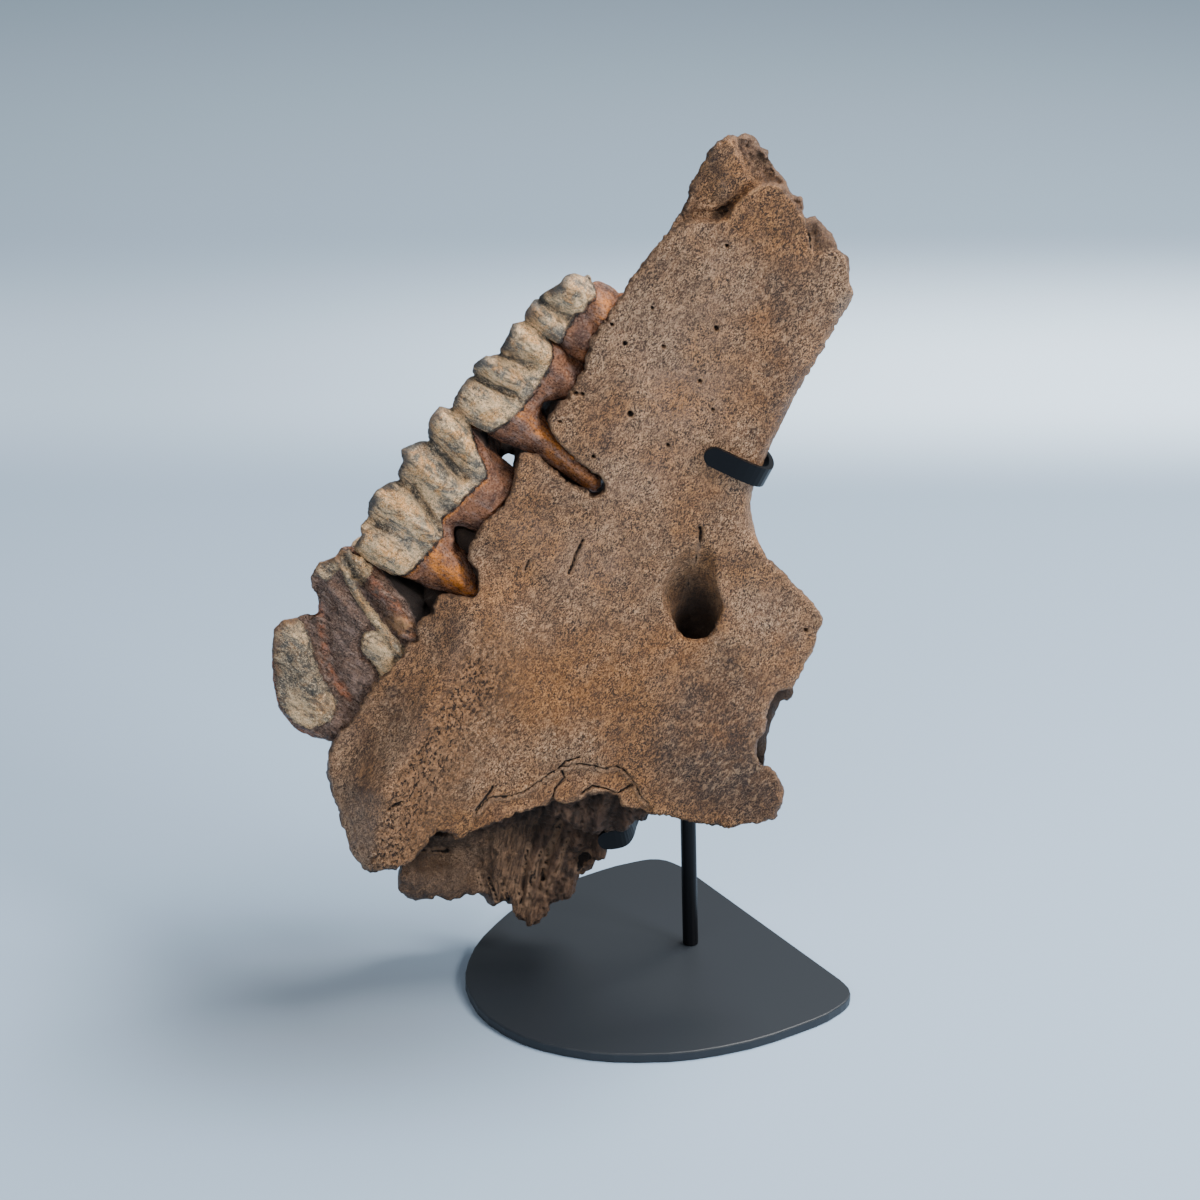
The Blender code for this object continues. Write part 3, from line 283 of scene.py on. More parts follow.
SPLINTERS = [(-35.8, 33.6), (-40.1, 27.4), (-41.4, 19.5), (-43.5, 14.0), (-44.7, 7.2),
             (-47.2, 0.7), (-46.2, -3.0), (-41.1, -0.6), (-37.6, 6.5), (-35.8, 13.8),
             (-33.1, 22.8), (-33.2, 31.0)]
# Deep gaps between the teeth, painted black as shade
SHADE_BETWEEN_MOLARS = [(-32.4, 30.0), (-32.3, 22.8), (-34.8, 13.8), (-36.9, 6.5), (-40.3, 0.0),
             (-45.0, -6.0), (-22.0, -8.0), (-22.0, 20.0), (-30.0, 31.0)]
SHADE_BEHIND_PREMOLARS = [(19.8, 25.6), (18.0, 19.1), (17.4, 13.8), (16.8, 6.4), (14.0, -6.0), (24.6, -7.0),
                (24.4, 1.1), (23.6, 8.5), (21.8, 13.6), (21.8, 18.1), (20.6, 24.4)]
RUST_LINES = [
    ([(-54.1, 27.7), (-59.5, 22.5), (-65.4, 17.0), (-70.6, 8.1), (-72.5, 2.0)], 1.7),
    ([(-36.0, 24.5), (-38.6, 15.0), (-40.6, 7.5), (-44.5, 0.0)], 2.4),
    ([(-67.9, 34.0), (-77.0, 28.2), (-88.6, 18.3), (-91.6, 9.9), (-89.6, 3.0)], 1.3),
]
BUCCAL = -33.0
CHEWING_SLOPE = 0.28
# How far a deeper point seems to slide forward along the row, for each millimetre of depth
SIGHT_SHIFT = 0.31
TOOTH_STEP = 0.6
OUTER_WALL_REACH = 24.0
LOBE_FULLNESS = 2.6

# Stand
PLATE_THICKNESS = 3.2
ROD_RADIUS = 2.5
ROD_TOP = (-4.9, 0.0, 188.0)
STRIP_WIDTH = 6.2
STRIP_THICKNESS = 1.6
UPPER_CLAW = [(-0.3, -0.8, 186.4), (8.0, -4.0, 182.3), (15.5, -11.0, 178.6),
              (20.0, -19.0, 176.4), (20.8, -27.0, 176.0), (19.2, -33.8, 176.8),
              (14.0, -36.5, 179.4), (1.8, -36.6, 185.5)]
LOWER_CLAW = [(-4.4, -0.6, 57.5), (-11.0, -1.2, 57.0), (-16.4, -4.0, 55.4),
              (-18.8, -9.5, 53.2), (-20.3, -15.0, 51.0), (-23.0, -18.6, 50.0),
              (-30.0, -18.8, 49.0)]


# Frames

def seen(points, deepest=1e9):
    """Face-plane coordinates of points along their sight lines"""
    t = (np.minimum(points[:, 1], deepest) - EYE[1]) / (FACE_Y - EYE[1])
    return EYE[0] + (points[:, 0] - EYE[0]) / t, EYE[2] + (points[:, 2] - EYE[2]) / t


def row_place(x, z):
    """Row coordinates (a, v) of upright-plane coordinates"""
    dx, dz = x - ROW_ORIGIN[0], z - ROW_ORIGIN[1]
    return (dx * ROW_FORWARD[0] + dz * ROW_FORWARD[1],
            dz * ROW_FORWARD[0] - dx * ROW_FORWARD[1])


# Functions of coordinates

def smooth(value, low, high):
    t = np.clip((value - low) / (high - low), 0.0, 1.0)
    return t * t * (3.0 - 2.0 * t)


def bump(p, q, centre, radius_p, radius_q):
    return np.exp(-((p - centre[0]) / radius_p) ** 2 - ((q - centre[1]) / radius_q) ** 2)


def from_line(p, q, line):
    """Distance to a polyline, place along it (in points) and side (-1 left of its direction)"""
    best = np.full(p.shape, 1e9)
    along = np.zeros(p.shape)
    side = np.ones(p.shape)
    for i, (start, end) in enumerate(zip(line[:-1], line[1:])):
        dp, dq = end[0] - start[0], end[1] - start[1]
        t = np.clip(((p - start[0]) * dp + (q - start[1]) * dq) / (dp * dp + dq * dq), 0, 1)
        off_p, off_q = p - start[0] - t * dp, q - start[1] - t * dq
        distance = np.hypot(off_p, off_q)
        nearer = distance < best
        best = np.where(nearer, distance, best)
        along = np.where(nearer, i + t, along)
        side = np.where(nearer, np.sign(dq * off_p - dp * off_q), side)
    return best, along, side


def from_outline(p, q, outline):
    """Signed distance to a closed outline, negative inside"""
    best = np.full(p.shape, 1e9)
    inside = np.zeros(p.shape, bool)
    for (p0, q0), (p1, q1) in zip(outline, outline[1:] + outline[:1]):
        dp, dq = p1 - p0, q1 - q0
        t = np.clip(((p - p0) * dp + (q - q0) * dq) / (dp * dp + dq * dq + 1e-9), 0, 1)
        best = np.minimum(best, (p - p0 - t * dp) ** 2 + (q - q0 - t * dq) ** 2)
        crosses = (q0 > q) != (q1 > q)
        inside ^= crosses & (p < dp * (q - q0) / (dq if dq else 1e-9) + p0)
    return np.where(inside, -1.0, 1.0) * np.sqrt(best)


def rounded_outline(outline, steps=3):
    """The outline as a smooth closed curve through its points"""
    points = np.array(outline)
    p0, p1, p2, p3 = (np.roll(points, shift, axis=0) for shift in (1, 0, -1, -2))
    between = []
    for t in np.arange(steps) / steps:
        between.append(0.5 * (2 * p1 + (p2 - p0) * t + (2 * p0 - 5 * p1 + 4 * p2 - p3) * t ** 2
                              + (3 * p1 - p0 - 3 * p2 + p3) * t ** 3))
    return [tuple(point) for point in np.stack(between, 1).reshape(-1, 2)]


def rounded_max(first, second, radius):
    """The larger of two distances, with the edge where they meet rounded"""
    sharp = np.maximum(first, second)
    corner = np.hypot(np.maximum(first + radius, 0.0), np.maximum(second + radius, 0.0))
    return np.minimum(sharp, -radius) + corner


def blend_min(first, second, radius):
    """The smaller of two distances, with a fillet where they meet"""
    share = np.clip(0.5 + 0.5 * (second - first) / radius, 0.0, 1.0)
    return second + (first - second) * share - radius * share * (1.0 - share)


class Noise:
    """Smooth noise of points between about -1 and 1, the same on every run"""

    def __init__(self, seed, size=32):
        self.size = size
        self.lattice = np.random.default_rng(seed).uniform(-1, 1, (size,) * 3).astype("f4")

    def __call__(self, points, scale):
        at = np.asarray(points, "f4") / np.asarray(scale, "f4")
        cell = np.floor(at).astype(int)
        t = at - cell
        t = t * t * (3.0 - 2.0 * t)
        i, j, k = (cell % self.size).T
        i1, j1, k1 = ((cell + 1) % self.size).T
        tx, ty, tz = t.T
        grid = self.lattice
        near = (grid[i, j, k] * (1 - tx) + grid[i1, j, k] * tx) * (1 - ty) \
            + (grid[i, j1, k] * (1 - tx) + grid[i1, j1, k] * tx) * ty
        far = (grid[i, j, k1] * (1 - tx) + grid[i1, j, k1] * tx) * (1 - ty) \
            + (grid[i, j1, k1] * (1 - tx) + grid[i1, j1, k1] * tx) * ty
        return 1.5 * (near * (1 - tz) + far * tz)

    def rough(self, points, scale, octaves=3):
        total = 0.0
        for octave in range(octaves):
            total = total + self(points + 17.0 * octave, np.asarray(scale) / 2.1 ** octave) \
                / 1.8 ** octave
        return total / 1.6


class Cells:
    """Distance to the nearest of scattered points, in units of their spacing"""

    def __init__(self, seed, size=24):
        self.size = size
        self.jitter = np.random.default_rng(seed).uniform(0, 1, (size, size, size, 3)).astype("f4")

    def __call__(self, points, scale):
        at = np.asarray(points, "f4") / np.asarray(scale, "f4")
        cell = np.floor(at).astype(int)
        best = np.full(len(at), 9.0, "f4")
        for offset in np.ndindex(3, 3, 3):
            near = cell + np.array(offset) - 1
            i, j, k = (near % self.size).T
            best = np.minimum(best, ((near + self.jitter[i, j, k] - at) ** 2).sum(1))
        return np.sqrt(best)


class Table:
    """A function of two coordinates, tabulated for speed"""

    def __init__(self, function, low, high, step):
        self.low = low
        self.step = step
        p, q = (np.arange(a, b, step) for a, b in zip(low, high))
        self.values = function(*np.meshgrid(p, q, indexing="ij")).astype("f4")

    def __call__(self, p, q):
        i = np.clip((p - self.low[0]) / self.step, 0, self.values.shape[0] - 1.001)
        j = np.clip((q - self.low[1]) / self.step, 0, self.values.shape[1] - 1.001)
        i0, j0 = i.astype(int), j.astype(int)
        i, j = i - i0, j - j0
        grid = self.values
        return (grid[i0, j0] * (1 - i) + grid[i0 + 1, j0] * i) * (1 - j) \
            + (grid[i0, j0 + 1] * (1 - i) + grid[i0 + 1, j0 + 1] * i) * j


cloud = Noise(7)
pits = Cells(11)


def flat_noise(p, q, scale, seed=0.0):
    points = np.stack([p.ravel(), q.ravel(), np.full(p.size, seed)], 1)
    return cloud.rough(points, scale).reshape(p.shape)


# Meshing

def skin(field, low, high, step):
    """Closed quads over the zero level of a field of points, which is negative inside"""
    axes = [np.arange(a, b + step, step) for a, b in zip(low, high)]
    values = np.empty([len(axis) for axis in axes], "f4")
    slab = 12
    for start in range(0, len(axes[0]), slab):
        block = np.stack(np.meshgrid(axes[0][start:start + slab], *axes[1:], indexing="ij"), -1)
        values[start:start + slab] = field(block.reshape(-1, 3)).reshape(block.shape[:3])
    cells = np.array(values.shape) - 1
    places, owners, quads = [], [], []
    for axis in range(3):
        p, q = (axis + 1) % 3, (axis + 2) % 3
        first = values.take(range(cells[axis]), axis)
        second = values.take(range(1, cells[axis] + 1), axis)
        at = np.argwhere((first < 0) != (second < 0))
        at = at[(at[:, p] > 0) & (at[:, q] > 0) & (at[:, p] < cells[p]) & (at[:, q] < cells[q])]
        a, b = first[tuple(at.T)], second[tuple(at.T)]
        place = at.astype(float)
        place[:, axis] += a / (a - b)
        quad = []
        for dp, dq in ((-1, -1), (0, -1), (0, 0), (-1, 0)):
            cell = at.copy()
            cell[:, p] += dp
            cell[:, q] += dq
            quad.append(np.ravel_multi_index(cell.T, cells))
            places.append(place)
            owners.append(quad[-1])
        quad = np.stack(quad, 1)
        quads.append(np.where((a < 0)[:, None], quad, quad[:, ::-1]))
    owner, index = np.unique(np.concatenate(owners), return_inverse=True)
    places = np.concatenate(places)
    count = np.bincount(index)
    points = np.stack([np.bincount(index, places[:, k]) / count for k in range(3)], 1)
    return points * step + np.array(low), np.searchsorted(owner, np.concatenate(quads))


def settle_on(field, points, reach, rounds=3):
    """Move points onto the field's zero level"""
    h = 0.15
    for _ in range(rounds):
        value = field(points)
        slope = np.stack([(field(points + offset) - value) / h for offset in h * np.eye(3)], 1)
        length = np.maximum((slope ** 2).sum(1), 0.3)
        points = points - slope * np.clip(value / length, -reach, reach)[:, None]
    return points


def largest_part(points, faces):
    """The connected part with the most points"""
    label = np.arange(len(points))
    edges = np.concatenate([faces[:, [i, (i + 1) % 4]] for i in range(4)])
    while True:
        lower = label.copy()
        np.minimum.at(lower, edges[:, 0], label[edges[:, 1]])
        np.minimum.at(lower, edges[:, 1], label[edges[:, 0]])
        lower = lower[lower]
        if (lower == label).all():
            break
        label = lower
    keep = label == np.argmax(np.bincount(label))
    return points[keep], (np.cumsum(keep) - 1)[faces[keep[faces[:, 0]]]]


def piece_from(name, points, faces):
    mesh = bpy.data.meshes.new(name)
    mesh.from_pydata(points * MM, [], faces)
    mesh.update()
    piece = bpy.data.objects.new(name, mesh)
    bpy.context.collection.objects.link(piece)
    return piece


def points_of(mesh):
    flat = np.empty(len(mesh.vertices) * 3, "f4")
    mesh.vertices.foreach_get("co", flat)
    return flat.reshape(-1, 3).astype(float) / MM


def normals_of(mesh):
    flat = np.empty(len(mesh.vertices) * 3, "f4")
    mesh.vertices.foreach_get("normal", flat)
    return flat.reshape(-1, 3).astype(float)


def put_points(mesh, points):
    mesh.vertices.foreach_set("co", (points * MM).astype("f4").ravel())
    mesh.update()


def refine(mesh, wanted):
    """Halve the faces whose centre (mm) is wanted"""
    shape = bmesh.new()
    shape.from_mesh(mesh)
    centres = np.array([face.calc_center_median() for face in shape.faces]) / MM
    normals = np.array([face.normal for face in shape.faces])
    chosen = wanted(centres, normals)
    edges = {edge for face, take in zip(shape.faces, chosen) if take for edge in face.edges}
    bmesh.ops.subdivide_edges(shape, edges=list(edges), cuts=1, use_grid_fill=True)
    shape.to_mesh(mesh)
    shape.free()
    mesh.update()


def set_mask(mesh, name, values):
    layer = mesh.attributes.new(name, "FLOAT", "POINT")
    layer.data.foreach_set("value", np.asarray(values, "f4"))


def finish_piece(piece, slot, material, *nodes):
    for polygon in piece.data.polygons:
        polygon.use_smooth = True
    piece.data.materials.append(material)
    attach(piece, "root")
    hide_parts(*nodes)


# Teeth

def profile(points):
    at, values = zip(*points)
    return lambda a: np.interp(a, at, values)


def capsule_chain(points, chain):
    """Distance to a chain of points with radii (x, y, z, radius)"""
    best = np.full(len(points), 1e9)
    for start, end in zip(chain[:-1], chain[1:]):
        p0, along = np.array(start[:3]), np.array(end[:3]) - np.array(start[:3])
        t = np.clip((points - p0) @ along / (along @ along), 0.0, 1.0)
        distance = np.linalg.norm(points - p0 - t[:, None] * along, axis=1)
        best = np.minimum(best, distance - start[3] - t * (end[3] - start[3]))
    return best


class Tooth:
    """The shape of one tooth as fields of points (a, y, v)"""

    def __init__(self, name):
        tooth = TEETH[name]
        self.name = name
        self.edge, self.neck = profile(tooth["edge"]), profile(tooth["neck"])
        self.back_end, self.front_end = tooth["edge"][0][0], tooth["edge"][-1][0]
        self.tooth = tooth
        low = (self.back_end - 4.0, -40.0)
        high = (self.front_end + 4.0, 22.0)
        outline = self.crown_outline()
        self.plan = Table(lambda a, y: from_outline(a, y, outline), low, high, 0.4)
        self.top = Table(self.chewing, low, high, 0.4)
        self.relief = Table(self.outer_relief, (low[0], -22.0), (high[0], 42.0), 0.35)
        bare = rounded_outline(tooth["bare"])
        self.bare = Table(lambda a, v: from_outline(a, v, bare), (low[0], -22.0),
                          (high[0], 42.0), 0.4)
        self.low = np.array([self.back_end - 3.0, -39.0, -21.0])
        self.high = np.array([self.front_end + 3.0, 20.0, 40.0])

    def crown_outline(self):
        a = np.linspace(self.back_end + 0.25, self.front_end - 0.25, 60)
        outer = np.full(a.shape, BUCCAL + 1.0)
        inner = np.full(a.shape, BUCCAL + OUTER_WALL_REACH)
        for at, reach, width in self.tooth["tongue"]:
            lobe = np.clip(1.0 - np.abs((a - at) / width) ** LOBE_FULLNESS, 0.0, 1.0)
            inner = np.maximum(inner, BUCCAL + OUTER_WALL_REACH
                               + (reach - OUTER_WALL_REACH) * np.sqrt(lobe))
        corner = smooth(np.minimum(a - a[0], a[-1] - a), 0.0, 3.0)
        outer += 2.0 * (1.0 - corner)
        inner -= 3.0 * (1.0 - corner)
        lean = self.tooth.get("lean", 0.0) * smooth(a, self.front_end - 12.0, self.front_end)
        inner_a = a - lean * (inner - outer)
        return list(zip(a, outer)) + list(zip(inner_a[::-1], inner[::-1]))

    def chewing(self, a, y):
        height = self.edge(a + SIGHT_SHIFT * (y - BUCCAL)) - CHEWING_SLOPE * (y - BUCCAL)
        inward = -self.plan(a, y)
        rim = smooth(inward, 3.2, 1.6)
        height -= 1.6 * (1.0 - rim) * smooth(y, BUCCAL + 2.0, BUCCAL + 6.0)
        height -= 1.5 * np.exp(-((y - BUCCAL - 10.0) / 4.0) ** 2)
        for at, y_at in self.tooth["valley"]:
            away = np.hypot((a - at) / 3.6, (y - y_at) / 10.0)
            height -= 7.0 * np.exp(-away ** 4) - 0.9 * np.exp(-((away - 1.35) / 0.25) ** 2)
        return np.maximum(height, self.neck(a) + 2.0)

    def outer_relief(self, a, v):
        share = smooth(v, self.neck(a) - 3.0, self.neck(a) + 9.0)
        total = np.zeros(a.shape)
        for at, rise, width in self.tooth["ribs"]:
            total += rise * np.exp(-((a - at) / width) ** 2) * (0.55 + 0.45 * share)
        for line, width, height in self.tooth["strokes"]:
            distance, _, _ = from_line(a, v, line)
            total += height * np.exp(-(distance / width) ** 2)
        middle = (v - self.neck(a)) / np.maximum(self.edge(a) - self.neck(a), 3.0)
        return total + 1.0 * np.sin(np.pi * np.clip(middle, 0.0, 1.0)) - 0.6

    def sight(self, points):
        """Where points (a, y, v) show on the face plane"""
        x = ROW_ORIGIN[0] + points[:, 0] * ROW_FORWARD[0] - points[:, 2] * ROW_FORWARD[1]
        z = ROW_ORIGIN[1] + points[:, 0] * ROW_FORWARD[1] + points[:, 2] * ROW_FORWARD[0]
        return seen(np.stack([x, points[:, 1], z], 1), deepest=-26.0)

    def seen_row(self, points):
        return row_place(*self.sight(points))

    def bark_relief(self, a, v):
        total = np.zeros(a.shape)
        for line, width, height in self.tooth["bark"]:
            distance, _, _ = from_line(a, v, line)
            total += height * np.exp(-(distance / width) ** 2)
        return total

    def enamel(self, points):
        a, y, v = points.T
        seen_a, seen_v = self.seen_row(points)
        outer = smooth(y, -16.0, -26.0)
        side = self.plan(a, y) - self.relief(seen_a, seen_v) * outer
        side = side + 0.10 * np.clip(self.neck(a) + 7.0 - v, 0.0, 12.0) * (1.0 - outer)
        crown = rounded_max(side, v - self.top(a, y), 0.8)
        lower = self.neck(seen_a) - seen_v * outer - v * (1.0 - outer)
        lower = lower + (self.neck(a) - self.neck(seen_a)) * (1.0 - outer)
        return rounded_max(crown, lower + 0.35 * cloud(points, 1.6), 0.5)

    def core(self, points):
        a, y, v = points.T
        u, w = self.sight(points)
        seen_a, seen_v = row_place(u, w)
        side = rounded_max(self.plan(a, y) + 1.6, v - self.top(a, y) + 2.5, 1.0)
        side = rounded_max(side, self.neck(a) - 4.0 - v, 1.5)
        reach = 8.5
        inward = np.maximum(reach + self.bare(seen_a, seen_v), 0.0)
        sunk = 6.0 * smooth(EDGE(u, w), 0.6, -2.2)
        shown = np.hypot(inward, y - self.tooth["bare_depth"] - sunk) - reach
        shown = shown - self.bark_relief(seen_a, seen_v)
        shown = rounded_max(shown, seen_v - self.neck(seen_a) - 1.0, 1.2)
        body = blend_min(side, shown, 2.5)
        for root in self.tooth["roots"]:
            chain = [(a_at, y_at, v_at, radius) for a_at, v_at, y_at, radius in root]
            body = blend_min(body, capsule_chain(points, chain), 3.0)
        return body

    def field(self, points):
        return np.minimum(self.enamel(points), self.core(points))

    def world_field(self, points):
        """Distance field of world points, far away outside the tooth's own box"""
        a, v = row_place(points[:, 0], points[:, 2])
        local = np.stack([a, points[:, 1], v], 1)
        result = np.full(len(points), 5.0)
        near = np.all((local > self.low - 2.0) & (local < self.high + 2.0), axis=1)
        if near.any():
            result[near] = self.field(local[near])
        return result


def build_tooth(shape, material):
    points, faces = largest_part(*skin(shape.field, shape.low, shape.high, TOOTH_STEP))
    points = settle_on(shape.field, points, 0.5)
    enamel, core = shape.enamel(points), shape.core(points)
    a, y, v = points.T
    u, w = shape.sight(points)
    seen_a, seen_v = row_place(u, w)
    x = ROW_ORIGIN[0] + a * ROW_FORWARD[0] - v * ROW_FORWARD[1]
    z = ROW_ORIGIN[1] + a * ROW_FORWARD[1] + v * ROW_FORWARD[0]
    world = np.stack([x, y, z], 1)
    piece = piece_from(shape.name + "_skin", world, faces.tolist())
    mesh = piece.data
    outer = smooth(y, -20.0, -26.0)
    to_enamel = seen_v - shape.neck(seen_a)
    rust = np.zeros(len(points))
    if shape.name == "tooth_second_molar":
        wander = 0.7 * cloud(world, 2.2)
        zones = np.min([from_outline(seen_a, seen_v, zone) for zone in ENAMEL_ZONES], 0)
        to_enamel = np.minimum(to_enamel, -zones)
        for line, width in RUST_LINES:
            distance, _, _ = from_line(seen_a, seen_v, line)
            rust = np.maximum(rust, smooth(distance + wander, width, 0.4 * width) * outer)
        splinters = smooth(from_outline(seen_a, seen_v, SPLINTERS), 0.6, -0.6) * outer
        cream = np.clip(0.5 * (seen_v - 21.0), -1.0, 1.0)
        to_enamel = to_enamel + splinters * (cream - to_enamel)
    inside = np.clip(1.5 * (core - enamel), -2.0, 2.0)
    to_enamel = np.clip(to_enamel, -4.0, 4.0)
    to_enamel = inside + outer * (to_enamel - inside)
    on_enamel = smooth(to_enamel, -0.3, 0.3)
    if shape.name == "tooth_first_molar":
        distance, _, _ = from_line(seen_a, seen_v, [(-19.0, 9.5), (-20.5, 2.0), (-21.8, -8.0)])
        rust = smooth(distance + 1.6 * cloud(world, 3.0), 5.0, 1.5)
        necks = np.abs(seen_v - shape.neck(seen_a) + 0.6)
        rust = np.maximum(rust, 0.8 * smooth(necks, 0.9, 0.2) * smooth(seen_a, 13.0, 10.0))
    if shape.name == "tooth_premolar_rear":
        distance, _, _ = from_line(seen_a, seen_v, [(33.0, 16.0), (32.6, 6.0), (31.6, -4.0)])
        rust = 0.9 * smooth(distance + 1.2 * cloud(world, 3.0), 2.6, 0.6)
        red, _, _ = from_line(seen_a, seen_v, [(28.5, 2.0), (28.0, -15.0)])
        rust = np.maximum(rust, 0.5 * smooth(red, 3.0, 1.0))
    if shape.name == "tooth_premolar_front":
        distance, _, _ = from_line(seen_a, seen_v, [(75.0, 18.0), (70.0, 12.0), (60.5, 10.0)])
        rust = 0.75 * smooth(distance + 1.5 * cloud(world, 3.0), 5.0, 1.5)
    shell = shape.edge(seen_a) - seen_v
    tall = np.clip(1.0 - shell / np.maximum(shape.edge(seen_a) - shape.neck(seen_a), 4.0), 0, 1)
    relief = shape.relief(seen_a, seen_v)
    grain = cloud.rough(np.stack([a, y, v * 0.4], 1), 1.3)
    wrinkle = cloud.rough(np.stack([a, y, v * 0.25], 1), 3.4)
    lines = 1.0 - np.abs(cloud.rough(np.stack([a, y, v * 0.3], 1) + 40.0, 2.6)) * 4.0
    fine_crack = smooth(lines, 0.45, 0.95) * on_enamel * outer
    lift = 0.14 * grain + 0.22 * wrinkle * on_enamel - 0.22 * fine_crack
    lift = lift + 0.20 * cloud.rough(world, 2.0) * (1.0 - on_enamel)
    valley, ridge = np.zeros(len(points)), np.zeros(len(points))
    for line, width, height in shape.tooth["strokes"]:
        distance, _, _ = from_line(seen_a, seen_v, line)
        cut = np.exp(-(distance / (0.9 * width)) ** 2) * outer
        valley = np.maximum(valley, cut * min(max(-height / 1.6, 0.0), 1.0))
        ridge = np.maximum(ridge, cut * min(max(height / 1.6, 0.0), 1.0))
    grime = np.zeros(len(points))
    if shape.name == "tooth_second_molar":
        for spot_a, spot_v, radius_a, radius_v, strength in ENAMEL_GRIME:
            grime += strength * bump(seen_a, seen_v, (spot_a, spot_v), radius_a, radius_v)
    set_mask(mesh, "valley", valley)
    set_mask(mesh, "ridge", ridge)
    set_mask(mesh, "grime", np.clip(grime, 0.0, 1.0) * outer)
    # gap is painted shade: black where the teeth lie deep in the gaps between them, and at the tip of the
    # rear premolar's root where its slot ends
    gap = smooth(from_outline(seen_a, seen_v, SHADE_BEHIND_PREMOLARS), 0.5, -0.4)
    if shape.name == "tooth_premolar_rear":
        gap = np.maximum(gap, smooth(seen_v + 0.4 * cloud(world, 1.2), -15.4, -16.6))
    amber = np.zeros(len(points))
    if shape.name == "tooth_second_molar":
        gap = smooth(from_outline(seen_a, seen_v, SHADE_BETWEEN_MOLARS) + 0.5 * cloud(world, 1.5), 0.6, -0.6)
        strip = np.stack([(a + 0.36 * v) * 1.0, y * 0.6, v * 0.16], 1)
        lift += splinters * (1.1 * cloud.rough(strip, 1.3) + 0.5 * cloud.rough(world, 1.2))
        amber = bump(seen_a, seen_v, (-43.4, 3.6), 2.2, 4.4) * outer
    put_points(mesh, points_of(mesh) + normals_of(mesh) * lift[:, None])
    set_mask(mesh, "gap", gap)
    set_mask(mesh, "amber", amber)
    set_mask(mesh, "to_enamel", to_enamel)
    set_mask(mesh, "edge", smooth(shell + 1.2 * cloud(world, 2.5), 3.4, 0.4) * on_enamel)
    set_mask(mesh, "outer", outer)
    set_mask(mesh, "groove", smooth(relief + 0.5 * cloud(world, 3.0), 0.7, -1.2) * outer)
    set_mask(mesh, "lobe", smooth(relief, 0.8, 2.6) * outer)
    set_mask(mesh, "tall", tall)
    set_mask(mesh, "rust", rust)
    set_mask(mesh, "crack", fine_crack)
    set_mask(mesh, "violet", smooth(seen_a, -33.0, -35.0) * outer)
    finish_piece(piece, "tooth", material, shape.name)
    return piece


# Bone

LEAST_THICKNESS = 4.5


def crest_rise(u, w):
    distance, along, side = from_line(u, w, CREST)
    height = np.interp(along, range(len(CREST)), CREST_HEIGHTS)
    left = 0.75 * np.exp(-(distance / 9.0) ** 2) + 0.25 * np.exp(-(distance / 20.0) ** 2)
    right = 0.45 * np.exp(-(distance / 13.0) ** 2) + 0.55 * np.exp(-(distance / 42.0) ** 2)
    return height * np.where(side > 0, left, right)


def face_front(u, w):
    depth = -34.0 - crest_rise(u, w)
    depth += 6.0 * smooth(u, 8.0, 38.0) * smooth(w, 160.0, 135.0) * smooth(w, 92.0, 108.0)
    depth += 3.0 * smooth(w, 92.0, 62.0) * smooth(u, -30.0, 10.0)
    depth += 2.0 * bump(u, w, (8.0, 108.0), 16.0, 14.0)
    depth += 2.0 * bump(u, w, (-12.0, 215.0), 16.0, 34.0)
    distance, along, side = from_line(u, w, TIP_BREAK)
    step = np.interp(along, range(len(TIP_BREAK)), TIP_STEPS) * smooth(distance, 0.0, 0.9)
    to_ridge, _, ridge_side = from_line(u, w, TIP_RIDGE)
    left = smooth(to_ridge * ridge_side, 1.2, -1.2) * smooth(u, 16.0, 12.0)
    step -= 0.70 * step * left * smooth(distance, 0.8, 4.0)
    step += 2.0 * (1.0 - left) * smooth(to_ridge, 0.5, 4.5) * smooth(w, 264.0, 268.0)
    step += 3.0 * left * smooth(to_ridge, 5.0, 15.0)
    depth += np.where(side < 0, step, 0.0)
    depth += 2.4 * bump(u, w, (11.5, 139.0), 6.0, 10.0)
    to_rim, _, _ = from_line(u, w, FINISHED_RIM)
    inside = np.clip(1.0 - to_rim / 9.0, 0.0, 1.0)
    depth += 4.5 * (1.0 - np.sqrt(1.0 - inside * inside))
    lip, _, lip_side = from_line(u, w, BONE_CRACKS[0][0])
    below = (lip_side > 0) & (u > -69.0) & (u < -13.0)
    depth += np.where(below, 1.7 * smooth(lip, 0.0, 1.5) - 1.2 * smooth(lip, 2.0, 8.0), 0.0)
    depth += 0.5 * np.sin(u / 6.3 + 1.0) * np.sin(w / 7.9)
    return depth + 0.5 * flat_noise(u, w, 14.0) + 0.16 * flat_noise(u, w, 4.5, 30.0)


def face_back(u, w):
    distance, _, _ = from_line(u, w, CANAL_BULGE)
    depth = -25.0 - 0.8 * crest_rise(u, w)
    depth += 13.0 * np.exp(-(distance / 13.0) ** 2) * smooth(w, 172.0, 140.0)
    depth += 5.0 * smooth(w, 225.0, 240.0)
    depth -= 2.5 * smooth(u, 10.0, 25.0)
    depth += 0.8 * np.sin(u / 9.1) * np.sin(w / 10.7 + 0.6)
    depth += 0.7 * flat_noise(u, w, 9.0, 60.0)
    return np.maximum(depth, face_front(u, w) + LEAST_THICKNESS)


